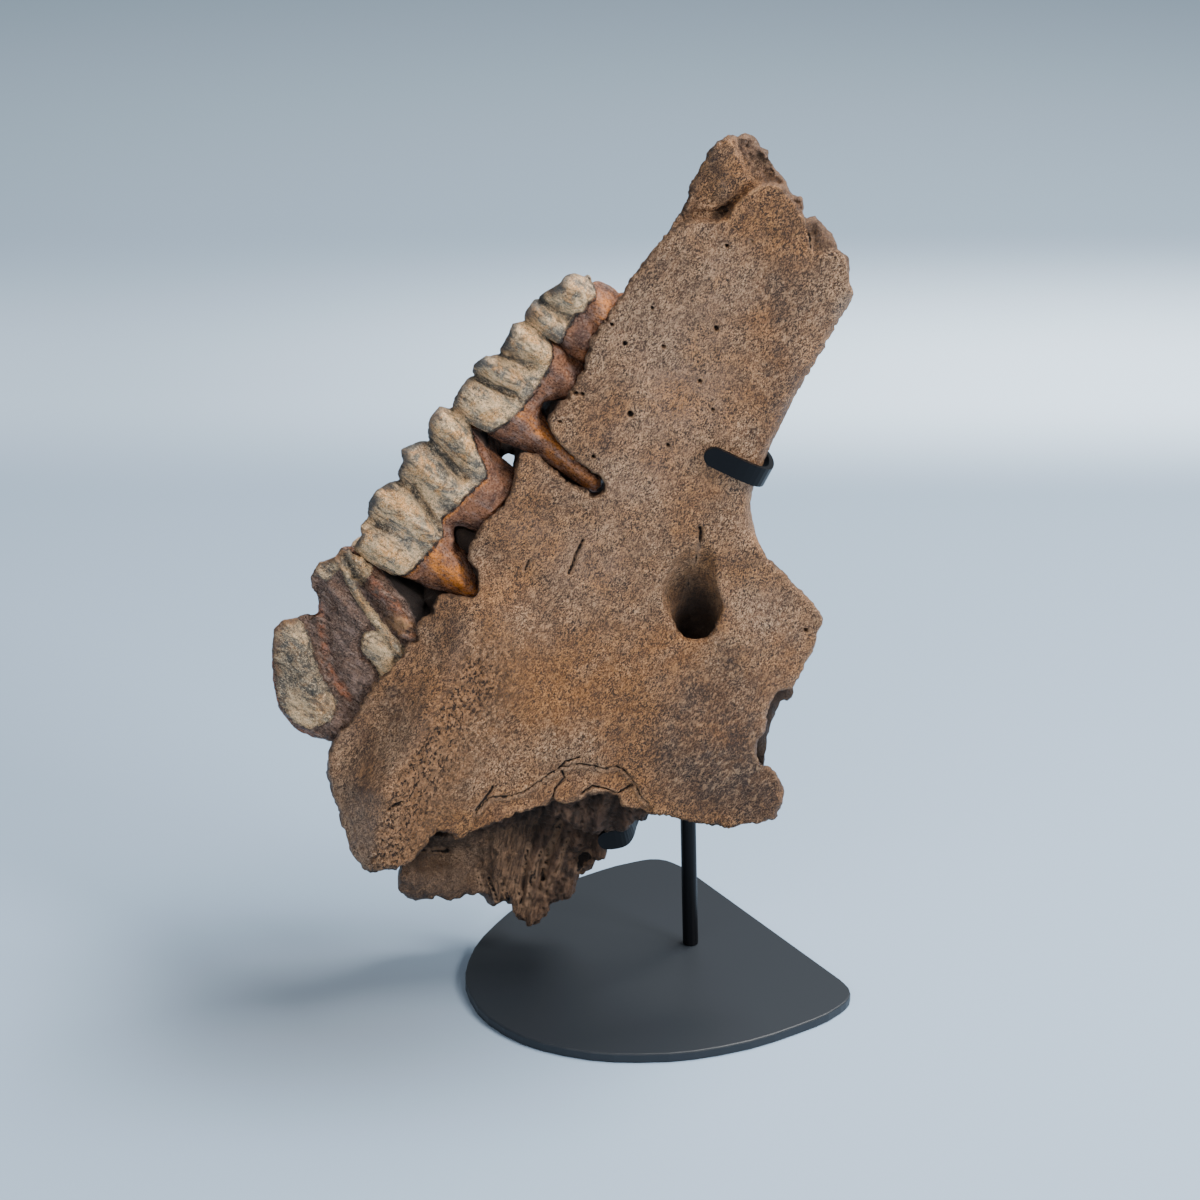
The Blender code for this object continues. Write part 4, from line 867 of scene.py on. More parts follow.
def deep_front(u, w):
    depth = -13.0 + 0.10 * (u + 55.0)
    depth -= 13.0 * bump(u, w, (-92.0, 44.0), 15.0, 14.0)
    depth -= 6.0 * bump(u, w, (-26.0, 56.0), 12.0, 12.0)
    depth += 6.5 * bump(u, w, (-80.5, 50.0), 6.5, 4.6)
    depth -= 2.2 * bump(u, w, (-78.0, 56.5), 9.0, 1.6)
    depth -= 2.5 * bump(u, w, (-60.0, 46.0), 5.0, 12.0)
    depth += 2.5 * bump(u, w, (-68.5, 44.0), 4.0, 8.0)
    depth -= 2.0 * bump(u, w, (-50.5, 40.0), 3.2, 14.0)
    depth += 4.0 * bump(u, w, (-35.0, 49.5), 3.4, 3.0)
    depth -= 8.0 * smooth(w, 58.0, 76.0)
    depth -= 8.0 * bump(u, w, (-18.0, 70.0), 7.0, 8.0)
    for line, width, deep in DEEP_CRACKS:
        distance, _, _ = from_line(u, w, line)
        depth += deep * np.exp(-(distance / width) ** 2)
    return depth + 0.9 * flat_noise(u, w, 7.0, 90.0)


def deep_back(u, w):
    depth = 8.0 - 7.0 * smooth(w, 46.0, 27.0) - 6.0 * smooth(u, -78.0, -96.0)
    depth += 4.0 * bump(u, w, (-64.0, 58.0), 9.0, 30.0)
    depth -= 4.0 * bump(u, w, (-42.0, 72.0), 9.0, 22.0)
    depth -= 8.0 * smooth(u, -38.0, -16.0)
    depth += 1.0 * np.sin(u / 7.0) * np.sin(w / 8.0)
    claw_room = smooth(u, -33.0, -25.0) * smooth(w, 88.0, 76.0)
    return depth + claw_room * (-17.5 - depth) + 0.8 * flat_noise(u, w, 6.0, 120.0)


def ridge_top(a, y):
    top = 9.0 - 4.0 * bump(a, y, (18.0, -10.0), 6.0, 60.0)
    top -= 9.0 * bump(a, y, (-30.0, -22.0), 8.0, 16.0)
    front_end = smooth(a, 74.0, 82.0)
    top += front_end * (14.0 - 0.30 * (y + 32.0) - top)
    return top - 9.0 * smooth(a, -76.0, -92.0) + 0.8 * flat_noise(a, y, 6.0, 150.0)


def ridge_floor(a, y):
    floor = -14.0 + 5.0 * smooth(a, 76.0, 108.0) - 6.0 * smooth(a, -60.0, -88.0)
    for tooth in TEETH.values():
        for root in tooth["roots"]:
            tip_a, tip_v, tip_y, _ = root[-1]
            floor = floor - 5.0 * bump(a, y, (tip_a, tip_y), 7.0, 7.0)
    return floor - 3.0 * bump(a, y, (29.0, -26.0), 6.0, 7.0) + 0.7 * flat_noise(a, y, 7.0, 180.0)


def palate_height(a, y):
    height = 6.5 - 0.42 * (y - 12.0) - 8.0 * smooth(a, 62.0, 86.0)
    return height - 6.0 * bump(a, y, (1.0, 32.0), 10.0, 9.0) + 0.6 * flat_noise(a, y, 7.0, 210.0)


FACE_LOW, FACE_HIGH = (-126.0, 10.0), (56.0, 292.0)
ROW_LOW, ROW_HIGH = (-100.0, -45.0), (122.0, 50.0)


def raggedness(u, w):
    """How much a broken edge wanders; the finished rim doesn't"""
    to_rim, _, _ = from_line(u, w, FINISHED_RIM)
    amount = 0.55 + 0.5 * smooth(w, 245.0, 262.0) + 0.35 * smooth(w, 75.0, 60.0)
    return amount * smooth(to_rim, 1.0, 7.0)


def face_edge(u, w):
    outline = rounded_outline(FACE_OUTLINE)
    wander = flat_noise(u, w, 3.4, 240.0) + 0.5 * flat_noise(u, w, 1.6, 270.0)
    return from_outline(u, w, outline) + raggedness(u, w) * wander


def deep_edge(u, w):
    wander = flat_noise(u, w * 0.5, 3.0, 300.0) + 0.9 * flat_noise(u, w * 0.3, 1.5, 330.0)
    return from_outline(u, w, rounded_outline(DEEP_OUTLINE)) + 0.9 * wander


def table(function, low=FACE_LOW, high=FACE_HIGH):
    return Table(function, low, high, 0.5)


FRONT, BACK = table(face_front), table(face_back)
EDGE = table(face_edge)
RIM_DISTANCE = table(lambda u, w: from_line(u, w, FINISHED_RIM)[0])
DEEP_FRONT, DEEP_BACK = table(deep_front), table(deep_back)
DEEP_EDGE = table(deep_edge)
INNER_EDGE = table(lambda u, w: from_outline(u, w, INNER_LAYER)
                   + 0.4 * flat_noise(u, w, 2.5, 360.0))
ROOF_EDGE = table(lambda u, w: from_outline(u, w, ROOF_OUTLINE)
                  + 0.5 * flat_noise(u, w * 0.6, 2.2, 450.0))
HOLE_EDGE = table(lambda u, w: from_outline(u, w, SEE_THROUGH))
SLOT_EDGE = table(lambda u, w: from_line(u, w, [(25.0, 106.0), (21.0, 97.0), (19.0, 84.0)])[0])
RIDGE_EDGE = table(lambda a, y: from_outline(a, y, RIDGE_OUTLINE), ROW_LOW, ROW_HIGH)
RIDGE_TOP, RIDGE_FLOOR = table(ridge_top, ROW_LOW, ROW_HIGH), table(ridge_floor, ROW_LOW, ROW_HIGH)
PALATE_EDGE = table(lambda a, y: from_outline(a, y, PALATE_OUTLINE)
                    + 0.9 * flat_noise(a, y, 3.0, 390.0), ROW_LOW, ROW_HIGH)
PALATE_HEIGHT = table(palate_height, ROW_LOW, ROW_HIGH)
SINUS_EDGE = table(lambda a, v: from_outline(a, v, SINUS_WALL_OUTLINE)
                   + 0.9 * flat_noise(a, v, 3.0, 420.0), ROW_LOW, ROW_HIGH)


def bone_field(points, teeth):
    x, y, z = points.T
    u, w = seen(points)
    a, v = row_place(x, z)
    front = FRONT(u, w)
    across = np.maximum(front - y, y - BACK(u, w))
    wall = rounded_max(EDGE(u, w), across, 0.7 + 3.0 * smooth(RIM_DISTANCE(u, w), 6.0, 1.0))
    slot = np.maximum(SLOT_EDGE(u, w) - 6.5, np.abs(y - front - 4.6) - 1.5)
    wall = np.maximum(wall, -slot)
    inner = rounded_max(INNER_EDGE(u, w), np.abs(y - front - 8.0) - 1.6, 0.7)
    deep = rounded_max(DEEP_EDGE(u, w), np.maximum(DEEP_FRONT(u, w) - y, y - DEEP_BACK(u, w)),
                       1.2)
    ridge = rounded_max(RIDGE_EDGE(a, y), np.maximum(v - RIDGE_TOP(a, y), RIDGE_FLOOR(a, y) - v),
                        2.0)
    top = PALATE_HEIGHT(a, y)
    palate = rounded_max(PALATE_EDGE(a, y), np.maximum(v - top, top - 6.5 - v), 1.2)
    middle = 15.2 + 1.5 * np.sin(a / 9.0)
    sinus = rounded_max(SINUS_EDGE(a, v), np.abs(y - middle) - 2.2, 1.0)
    body = blend_min(blend_min(ridge, palate, 3.0), sinus, 3.0)
    body = blend_min(body, deep, 4.0)
    body = blend_min(body, wall, 2.0)
    roof = rounded_max(ROOF_EDGE(u, w), np.abs(y + 24.6) - 2.6, 0.7)
    body = np.minimum(np.minimum(body, inner), roof)
    chain = [(*centre, radius) for centre, radius in CANAL]
    canal = capsule_chain(np.stack([u, w, y], 1), chain)
    body = -blend_min(-body, canal, 1.2)
    hole = np.maximum(HOLE_EDGE(u, w) - 0.4, y - 26.0)
    body = np.maximum(body, -hole)
    for tooth in teeth:
        body = np.maximum(body, 0.5 - tooth.world_field(points))
    return body


# Broad tones of the bone: centre (x, z), radii, strength
# Painted shade where faces turn from the light, along the left foot of the crest, on the left flank of the
# tip and at the lower right, with dark blotches of the bone
SHADE_AND_BLOTCHES = [
    (-77.0, 126.0, 7.0, 12.0, 0.8), (-91.0, 105.0, 8.0, 12.0, 0.6), (-104.0, 82.0, 7.0, 13.0, 0.7),
    (-66.0, 112.0, 5.0, 10.0, 0.5), (10.0, 74.0, 20.0, 14.0, 1.0), (10.0, 94.0, 14.0, 14.0, 1.0),
    (8.8, 116.6, 5.0, 3.0, 0.7), (1.2, 106.6, 7.0, 4.0, 0.6), (19.6, 109.9, 5.0, 3.5, 0.6),
    (-30.0, 186.0, 6.0, 7.0, 0.6), (-47.0, 168.0, 9.0, 6.0, 0.5), (-16.0, 240.0, 6.0, 9.0, 0.5),
    (26.0, 236.0, 10.0, 16.0, 0.6), (24.0, 195.0, 7.0, 30.0, 0.6), (-45.0, 134.0, 10.0, 8.0, 0.35),
    (-22.0, 94.0, 12.0, 6.0, 0.4), (-4.0, 84.0, 14.0, 8.0, 0.6), (26.0, 130.0, 6.0, 10.0, 0.35),
    (-5.0, 258.5, 3.0, 4.0, 0.9), (-1.5, 265.5, 2.6, 5.0, 0.9), (3.0, 273.5, 2.4, 5.0, 0.8),
    (-101.0, 92.0, 6.0, 8.0, 0.2), (0.0, 98.0, 10.0, 6.0, 0.5), (20.0, 66.0, 8.0, 5.0, 0.5),
]
# Painted highlights along the crest, at its lower end, beside the canal's mouth and as a sheen over the upper
# middle, with pale greyish patches of the bone
HIGHLIGHT_AND_PALE = [
    (-4.0, 205.0, 16.0, 26.0, 0.9), (-107.0, 96.0, 6.0, 10.0, 0.6),
    (-30.0, 146.0, 16.0, 10.0, 0.2), (-32.0, 150.0, 14.0, 12.0, 0.5), (-53.0, 160.0, 8.0, 10.0, 0.5),
    (16.0, 139.0, 8.0, 10.0, 0.5), (-84.0, 82.0, 5.0, 16.0, 0.6), (-96.0, 58.0, 6.0, 9.0, 0.8),
    (-72.0, 116.0, 4.0, 12.0, 0.4), (-20.0, 176.0, 12.0, 12.0, 0.4), (8.0, 236.0, 8.0, 10.0, 0.35),
    (6.5, 265.0, 3.0, 4.5, 0.8), (13.0, 277.0, 3.0, 4.0, 0.3),
]
WARMER = [
    (-46.0, 98.0, 22.0, 14.0, 0.9), (-6.0, 122.0, 12.0, 7.0, 0.8), (22.0, 122.0, 12.0, 12.0, 0.8),
    (-22.0, 112.0, 20.0, 10.0, 0.6), (10.0, 88.0, 16.0, 18.0, 0.7), (18.0, 205.0, 12.0, 34.0, 0.6),
    (-70.0, 78.0, 12.0, 14.0, 0.5), (0.0, 172.0, 12.0, 16.0, 0.5), (-40.0, 74.0, 26.0, 5.0, 0.6),
    (2.0, 262.0, 8.0, 8.0, 0.3),
]


def broad_tone(u, w, spots):
    total = np.zeros(u.shape)
    for spot_u, spot_w, radius_u, radius_w, strength in spots:
        total += strength * bump(u, w, (spot_u, spot_w), radius_u, radius_w)
    return np.clip(total, 0.0, 1.0)


def bone_detail(points, normals):
    """Depth (mm) of cracks, pores and broken spongy surface, and masks for the paint"""
    u, w = seen(points)
    y = points[:, 1]
    front = FRONT(u, w)
    outer = smooth(y - front, 3.0, 1.0) * smooth(-normals[:, 1], 0.1, 0.5)
    outer = outer * smooth(EDGE(u, w), 1.5, -0.5)
    depth = np.zeros(len(points))
    dark = np.zeros(len(points))
    mark = np.full(len(points), 4.0)
    shake = 0.30 * cloud(points, 1.7) + 0.15 * cloud(points, 0.8)
    for line, width, deep in BONE_CRACKS:
        distance, _, _ = from_line(u, w, line)
        depth += deep * np.exp(-((distance + shake * 0.6) / width) ** 2) * outer
        mark = np.minimum(mark, distance - 0.55 * width)
    for pore_u, pore_w, radius in BONE_PORES:
        away = np.hypot(u - pore_u, w - pore_w) + 0.3 * shake
        depth += 2.2 * np.exp(-(away / (0.8 * radius)) ** 4) * outer
        mark = np.minimum(mark, np.hypot(u - pore_u, w - pore_w) - 0.85 * radius)

    mark = mark + (4.0 - mark) * (1.0 - outer)
    to_canal_line, _, _ = from_line(u, w, CANAL_LINE)
    mark = np.minimum(mark, to_canal_line - 0.25 + 4.0 * smooth(y - front, 12.0, 16.0))
    below_wall = smooth(y - front, 6.0, 3.0)
    for line, width, _ in DEEP_CRACKS:
        distance, _, _ = from_line(u, w, line)
        mark = np.minimum(mark, distance - 0.9 * width + 4.0 * below_wall)

    # coarse pores drawn out along the crest
    crest_distance, crest_along, crest_side = from_line(u, w, CREST)
    right = np.where(crest_side < 0, crest_distance, -crest_distance)
    coarse = smooth(right, -2.5, 1.5) * smooth(right, 24.0, 7.0) * smooth(crest_along, 0.7, 1.8)
    coarse = coarse * outer
    drawn = np.stack([u * 0.88 + w * 0.47, (w * 0.88 - u * 0.47) * 0.5, y * 0.4], 1)
    furrow = 1.0 - np.abs(cloud.rough(drawn, 1.5, 2)) * 3.2
    pit = smooth(pits(drawn, 1.15), 0.58, 0.22)
    depth += coarse * (0.35 * pit + 0.35 * smooth(furrow, 0.2, 0.9))
    dark = np.maximum(dark, 0.35 * coarse * pit)

    # broken edges and the tip
    wall = smooth(EDGE(u, w), 3.0, 1.0) * smooth(w, 58.0, 62.0)
    edge_break = smooth(EDGE(u, w), -4.0, -0.5) * (1.0 - outer) * wall
    edge_break = edge_break * smooth(RIM_DISTANCE(u, w), 5.0, 9.0)
    edge_break *= 1.0 - 0.8 * bump(u, w, (36.0, 130.0), 10.0, 14.0)
    tip_distance, tip_along, tip_side = from_line(u, w, TIP_BREAK)
    to_ridge, _, ridge_side = from_line(u, w, TIP_RIDGE)
    above = np.where(tip_side < 0, 1.0, 0.0) * smooth(tip_along, 1.0, 3.0)
    tip = above * smooth(w, 262.0, 266.0) * smooth(to_ridge * ridge_side, -0.5, 1.5)
    tip = np.maximum(tip, above * smooth(tip_along, 9.5, 10.5) * smooth(tip_along, 16.0, 15.0))
    gap = smooth(from_outline(u, w, TIP_PIT) + shake, 0.3, -0.5) * smooth(-normals[:, 1], 0.0, 0.3)
    lip_line = np.where(tip_side > 0, 1.0, 0.0) * smooth(tip_distance, 0.8, 0.2) * outer
    lip_line = lip_line * smooth(tip_along, 1.0, 2.0) * smooth(tip_along, 12.0, 10.0)
    under_lip = smooth(w, 80.0, 72.0) * smooth(y - front, 2.0, 6.0) * smooth(u, -60.0, -44.0)
    spongy = np.clip(edge_break + tip + gap + 0.9 * under_lip, 0.0, 1.0)
    sponge = np.maximum(smooth(pits(points, 1.7), 0.5, 0.16), smooth(pits(points, 3.4), 0.4, 0.15))
    shreds = cloud.rough(points * np.array([1.0, 0.6, 0.5]), 2.4)
    depth += spongy * (0.75 * sponge + 0.65 * shreds) + 0.8 * gap
    holes = np.maximum(sponge, 0.8 * smooth(shreds, 0.1, 0.7))
    dark = np.maximum(dark, spongy * holes * (1.0 - 0.35 * tip))
    dark = np.maximum(dark, 0.6 * gap * smooth(cloud(points, 1.2), -0.4, 0.4))

    # strands of the broken mass below
    deep_mass = smooth(y - front, 3.0, 6.0) * smooth(w, 84.0, 70.0) * smooth(u, 0.0, -14.0)
    lean = -0.10 - 0.006 * (u + 60.0)
    strand = np.stack([u + lean * (w - 45.0), w * 0.10, y * 0.35], 1)
    split = smooth(u, -72.0, -58.0)
    fibre = cloud.rough(strand, 1.35, 2)
    sheet = cloud.rough(strand * np.array([1.0, 1.6, 1.0]) + 60.0, 4.2, 2)
    depth += deep_mass * (0.25 + 0.75 * split) * (0.55 * fibre + 1.8 * sheet)
    depth += deep_mass * 0.6 * cloud.rough(points, 2.6) * (1.0 - 0.6 * split)
    gaps = smooth(fibre + 0.9 * sheet, 0.35, 0.85) * (0.2 + 0.8 * split)
    dark = np.maximum(dark, 0.85 * gaps * deep_mass)

    # grain of the whole surface
    grain = cloud.rough(points, 1.5, 2)
    depth += (0.13 + 0.10 * coarse) * grain + 0.10 * cloud.rough(points + 70.0, 4.0)
    rough_edge = outer * smooth(EDGE(u, w), -5.0, -0.8) * smooth(RIM_DISTANCE(u, w), 5.0, 9.0)
    rough_edge = np.maximum(rough_edge, coarse)
    depth += 0.35 * rough_edge * cloud.rough(points + 30.0, 2.0)
    lip, _, lip_side = from_line(u, w, BONE_CRACKS[0][0])
    band = smooth(lip * lip_side, 0.0, 0.8) * smooth(u, -70.0, -66.0) * smooth(u, -14.0, -18.0)
    band = band * outer * smooth(w, 84.0, 80.0)
    # painted shade: the inner layer at the lower right lies in shadow behind the wall
    inner = smooth(y - front, 4.5, 6.5) * smooth(INNER_EDGE(u, w), 2.0, 0.5) * smooth(u, 12.0, 16.0)
    # painted shadow of the wall: the deep mass is made dark right below its overhang
    shadow_of_wall = deep_mass * (0.9 * bump(u, w, (-25.0, 62.5), 9.0, 5.0)
                              + 0.55 * bump(u, w, (-86.0, 54.0), 6.0, 4.0)
                              + 0.55 * smooth(EDGE(u, w), 5.0, 0.0)
                              + 0.45 * bump(u, w, (-40.0, 60.0), 12.0, 5.0))
    # painted shade in the masks below: near black deep inside the canal's mouth and in crevices between the
    # teeth
    return depth, dict(dark=dark, mark=mark, coarse=coarse, spongy=spongy, outer=outer,
                       deep=deep_mass, band=band, under=np.clip(shadow_of_wall, 0.0, 1.0),
                       lip=lip_line, inner=inner,
                       rim=smooth(EDGE(u, w), -2.6, -0.3) * smooth(w, 62.0, 68.0),
                       shade_and_blotches=broad_tone(u, w, SHADE_AND_BLOTCHES), highlight_and_pale=broad_tone(u, w, HIGHLIGHT_AND_PALE) * outer,
                       warmer=broad_tone(u, w, WARMER),
                       recess_shade=smooth(y - front, 2.0, 11.0) * smooth(EDGE(u, w), -8.0, -12.0),
                       shade_by_teeth=smooth(y - front, 2.5, 6.0) * smooth(EDGE(u, w), -2.0, 0.0)
                       * smooth(EDGE(u, w), 12.0, 6.0) * smooth(w, 112.0, 124.0)
                       * smooth(normals[:, 1], 0.4, -0.1))


def build_bone(teeth, material):
    field = lambda points: bone_field(points, teeth)
    step = 2.2
    points, faces = largest_part(*skin(field, (-118.0, -56.0, 6.0), (48.0, 44.0, 286.0), step))
    points = settle_on(field, points, 0.8, 2)
    piece = piece_from("maxilla_bone", points, faces.tolist())
    mesh = piece.data

    def facing(centres, normals):
        u, w = seen(centres)
        shows = smooth(centres[:, 1] - FRONT(u, w), 6.0, 4.0) * (normals[:, 1] < 0.35)
        return (shows > 0.5) | below(centres, normals)

    def below(centres, normals):
        u, w = seen(centres)
        return (w < 80.0) & (normals[:, 1] < 0.2) & (centres[:, 1] < DEEP_FRONT(u, w) + 5.0)

    def finest(centres, normals):
        u, w = seen(centres)
        distance, along, side = from_line(u, w, CREST)
        crest = (side < 0) & (distance < 22.0) & (along > 0.8)
        lip = (w < 86.0) & (u > -72.0) & (u < -8.0) & (w > 58.0)
        tip = (w > 250.0) & (u < 30.0)
        chosen = facing(centres, normals) & (crest | lip | tip) & (normals[:, 1] < 0.0)
        return chosen | (below(centres, normals) & (u > -72.0) & (w < 62.0))

    def marked(centres, normals):
        u, w = seen(centres)
        near = np.full(len(u), 9.0)
        for line, width, _ in BONE_CRACKS:
            distance, _, _ = from_line(u, w, line)
            near = np.minimum(near, distance - width)
        for pore_u, pore_w, radius in BONE_PORES:
            near = np.minimum(near, np.hypot(u - pore_u, w - pore_w) - radius)
        return facing(centres, normals) & (near < 1.0) & (normals[:, 1] < 0.0)

    refine(mesh, facing)
    refine(mesh, finest)
    refine(mesh, marked)
    points = settle_on(field, points_of(mesh), 0.6, 2)
    put_points(mesh, points)
    normals = normals_of(mesh)
    depth, masks = bone_detail(points, normals)
    put_points(mesh, points - normals * depth[:, None])
    for name, values in masks.items():
        set_mask(mesh, name, values)
    finish_piece(piece, "bone", material, "maxilla")
    return piece


# Materials

class Paint:
    """Adds and links the nodes of one material"""

    def __init__(self, name):
        self.material = bpy.data.materials.new(name)
        self.material.use_nodes = True
        self.tree = self.material.node_tree
        self.shader = self.tree.nodes["Principled BSDF"]
        coordinates = self.tree.nodes.new("ShaderNodeTexCoord")
        self.object = coordinates.outputs["Object"]

    def node(self, kind, inputs, output=0, **settings):
        node = self.tree.nodes.new("ShaderNode" + kind)
        for name, value in settings.items():
            setattr(node, name, value)
        for key, value in inputs.items():
            self.put(node.inputs[key], value)
        return node.outputs[output]

    def put(self, socket, value):
        if isinstance(value, bpy.types.NodeSocket):
            self.tree.links.new(value, socket)
        else:
            socket.default_value = value

    def turned(self, angle, stretch):
        """Coordinates drawn out along a direction turned from upright about the y axis"""
        return self.node("Mapping", {"Vector": self.object, "Rotation": (0.0, angle, 0.0),
                                     "Scale": (1.0, 1.0, stretch)}, vector_type="TEXTURE")

    def noise(self, size, detail=3.0, roughness=0.55, vector=None, distortion=0.0):
        """Noise with features of about the given size in millimetres"""
        inputs = {"Vector": vector or self.object, "Scale": 1.0 / (size * MM), "Detail": detail,
                  "Roughness": roughness, "Distortion": distortion}
        return self.node("TexNoise", inputs)

    def cells(self, size, vector=None, feature="F1"):
        inputs = {"Vector": vector or self.object, "Scale": 1.0 / (size * MM)}
        return self.node("TexVoronoi", inputs, feature=feature)

    def mask(self, name):
        return self.node("Attribute", {}, output="Fac", attribute_name=name)

    def range(self, value, low, high, start=0.0, end=1.0):
        inputs = {"Value": value, "From Min": low, "From Max": high, "To Min": start,
                  "To Max": end}
        return self.node("MapRange", inputs, interpolation_type="SMOOTHSTEP")

    def math(self, operation, first, second=0.0):
        return self.node("Math", {0: first, 1: second}, operation=operation)

    def mix(self, share, first, second, blend="MIX"):
        return self.node("Mix", {0: share, 6: colour(first), 7: colour(second)}, output=2,
                         data_type="RGBA", blend_type=blend)

    def bumps(self, *layers):
        """Stack of bump maps: (height, distance in mm, strength)"""
        normal = None
        for height, distance, strength in layers:
            inputs = {"Height": height, "Distance": distance * MM, "Strength": strength}
            if normal:
                inputs["Normal"] = normal
            normal = self.node("Bump", inputs)
        self.put(self.shader.inputs["Normal"], normal)

    def set(self, **values):
        for name, value in values.items():
            self.put(self.shader.inputs[name.replace("_", " ")], value)


def colour(value):
    if isinstance(value, bpy.types.NodeSocket):
        return value
    return (*value, 1.0)


def bone_material():
    paint = Paint("fossil_bone")
    dark, coarse, deep = paint.mask("dark"), paint.mask("coarse"), paint.mask("deep")
    blotch = paint.range(paint.noise(24.0, 4.0, 0.6), 0.36, 0.66)
    base = paint.mix(blotch, (0.118, 0.056, 0.028), (0.215, 0.112, 0.060))
    warm = paint.range(paint.noise(12.0, 4.0, 0.6, distortion=0.4), 0.40, 0.66, 0.0, 0.65)
    warm = paint.math("ADD", warm, paint.math("MULTIPLY", paint.mask("warmer"), 0.9))
    base = paint.mix(paint.math("MULTIPLY", warm, 0.75), base, (0.245, 0.088, 0.018))
    # painted highlights along the crest and beside the canal, with pale greyish patches of the bone
    base = paint.mix(paint.math("MULTIPLY", paint.mask("highlight_and_pale"), 0.75), base,
                     (0.390, 0.250, 0.180))
    cloudy = paint.range(paint.noise(5.0, 6.0, 0.72, paint.turned(0.668, 1.6)), 0.44, 0.60)
    # dark clouds of the bone, with painted shade on faces turned from the light and dark blotches
    shade = paint.math("ADD", paint.math("MULTIPLY", cloudy, 0.62),
                       paint.math("MULTIPLY", paint.mask("shade_and_blotches"), 0.62))
    base = paint.mix(shade, base, (0.050, 0.025, 0.017))
    base = paint.mix(paint.math("MULTIPLY", paint.mask("band"), 0.55), base,
                     (0.165, 0.070, 0.034))

    # grain drawn out along the jaw
    along = paint.turned(0.668, 2.2)
    fine = paint.noise(0.28, 2.0, 0.62, along, 0.4)
    patchy = paint.range(paint.noise(7.0, 3.0, 0.6), 0.38, 0.62, 0.60, 1.0)
    tint = paint.mix(blotch, (0.74, 0.34, 0.115), (0.80, 0.51, 0.30))
    speck = paint.math("MULTIPLY", paint.range(fine, 0.505, 0.56), patchy)
    speck = paint.math("MULTIPLY", speck, paint.range(paint.mask("shade_and_blotches"), 0.0, 1.0, 0.75, 0.30))
    base = paint.mix(speck, base, tint)
    grain = paint.math("MULTIPLY", paint.range(fine, 0.48, 0.42), patchy)
    base = paint.mix(paint.math("MULTIPLY", grain, 0.95), base, (0.018, 0.008, 0.004))

    mottling = paint.noise(1.1, 4.0, 0.65, paint.turned(0.668, 1.8), 0.5)
    base = paint.mix(paint.range(mottling, 0.50, 0.62, 0.0, 0.42), base, (0.040, 0.019, 0.011))
    base = paint.mix(paint.range(mottling, 0.47, 0.37, 0.0, 0.36), base, tint)

    # wormy pits on the right of the crest
    worm = paint.noise(0.85, 3.0, 0.65, paint.turned(0.49, 1.8), 0.8)
    base = paint.mix(paint.math("MULTIPLY", coarse, 0.50), base, (0.50, 0.245, 0.105))
    hole = paint.math("MULTIPLY", paint.range(worm, 0.49, 0.42), coarse)
    base = paint.mix(paint.math("MULTIPLY", hole, 0.95), base, (0.020, 0.009, 0.005))
    base = paint.mix(paint.math("MULTIPLY", paint.mask("rim"), 0.15), base, (0.46, 0.265, 0.145))
    base = paint.mix(paint.math("MULTIPLY", paint.mask("lip"), 0.7), base, (0.56, 0.31, 0.14))

    # the broken mass below: grainy on the left, fibrous on the right
    drawn = paint.turned(0.20, 6.0)
    strands = paint.range(paint.noise(0.9, 4.0, 0.65, drawn, 0.4), 0.40, 0.58)
    fibres = paint.mix(strands, (0.024, 0.013, 0.008), (0.290, 0.162, 0.090))
    crumbs = paint.mix(paint.range(fine, 0.42, 0.60), (0.050, 0.030, 0.020), (0.260, 0.160, 0.100))
    across = paint.node("SeparateXYZ", {"Vector": paint.object}, output=0)
    mass = paint.mix(paint.range(across, -0.074, -0.056), crumbs, fibres)
    mass = paint.mix(paint.math("MULTIPLY", cloudy, 0.45), mass, (0.065, 0.036, 0.023))
    base = paint.mix(paint.math("MULTIPLY", deep, 0.85), base, mass)
    # painted shadow of the wall, near black, on the deep mass below it
    base = paint.mix(paint.math("MULTIPLY", paint.mask("under"), 0.85), base,
                     (0.016, 0.008, 0.005))
    base = paint.mix(paint.math("MULTIPLY", paint.mask("spongy"), 0.6), base,
                     (0.100, 0.052, 0.032))
    base = paint.mix(paint.math("MULTIPLY", dark, 0.9), base, (0.014, 0.008, 0.005))
    shaky = paint.math("MULTIPLY", paint.math("SUBTRACT", paint.noise(0.9, 2.0), 0.5), 0.9)
    mark = paint.math("ADD", paint.mask("mark"), shaky)
    base = paint.mix(paint.range(mark, 0.9, 0.3, 0.0, 0.3), base, (0.52, 0.31, 0.18))
    opening = paint.range(mark, 0.20, -0.10)
    base = paint.mix(paint.math("MULTIPLY", opening, 0.96), base, (0.008, 0.004, 0.003))
    # painted shade, near black, inside the canal's mouth, in crevices between the teeth and on the inner
    # layer behind the wall
    shade_in_recesses = paint.math("MAXIMUM", paint.mask("recess_shade"), paint.mask("shade_by_teeth"))
    shade_in_recesses = paint.math("MAXIMUM", shade_in_recesses, paint.math("MULTIPLY", paint.mask("inner"), 0.85))
    base = paint.mix(paint.math("MULTIPLY", shade_in_recesses, 0.93), base,
                     (0.013, 0.006, 0.003))
    pores = paint.range(paint.cells(1.1), 0.26, 0.10)
    small = paint.math("MULTIPLY", pores, paint.range(paint.noise(8.0), 0.46, 0.64, 0.0, 0.9))
    base = paint.mix(paint.math("MULTIPLY", small, 0.7), base, (0.024, 0.012, 0.008))
    gloss = paint.range(paint.noise(5.0, 3.0), 0.35, 0.7, 0.60, 0.42)
    paint.set(Base_Color=base, Roughness=gloss, Specular_IOR_Level=0.42)
    paint.bumps((paint.noise(1.6, 4.0, 0.65), 0.8, 0.55), (fine, 1.1, 1.0),
                (paint.math("MULTIPLY", hole, -1.0), 1.0, 1.0),
                (paint.math("MULTIPLY", opening, -1.0), 1.2, 0.8),
                (paint.math("MULTIPLY", small, -1.0), 0.8, 0.7))
    return paint.material


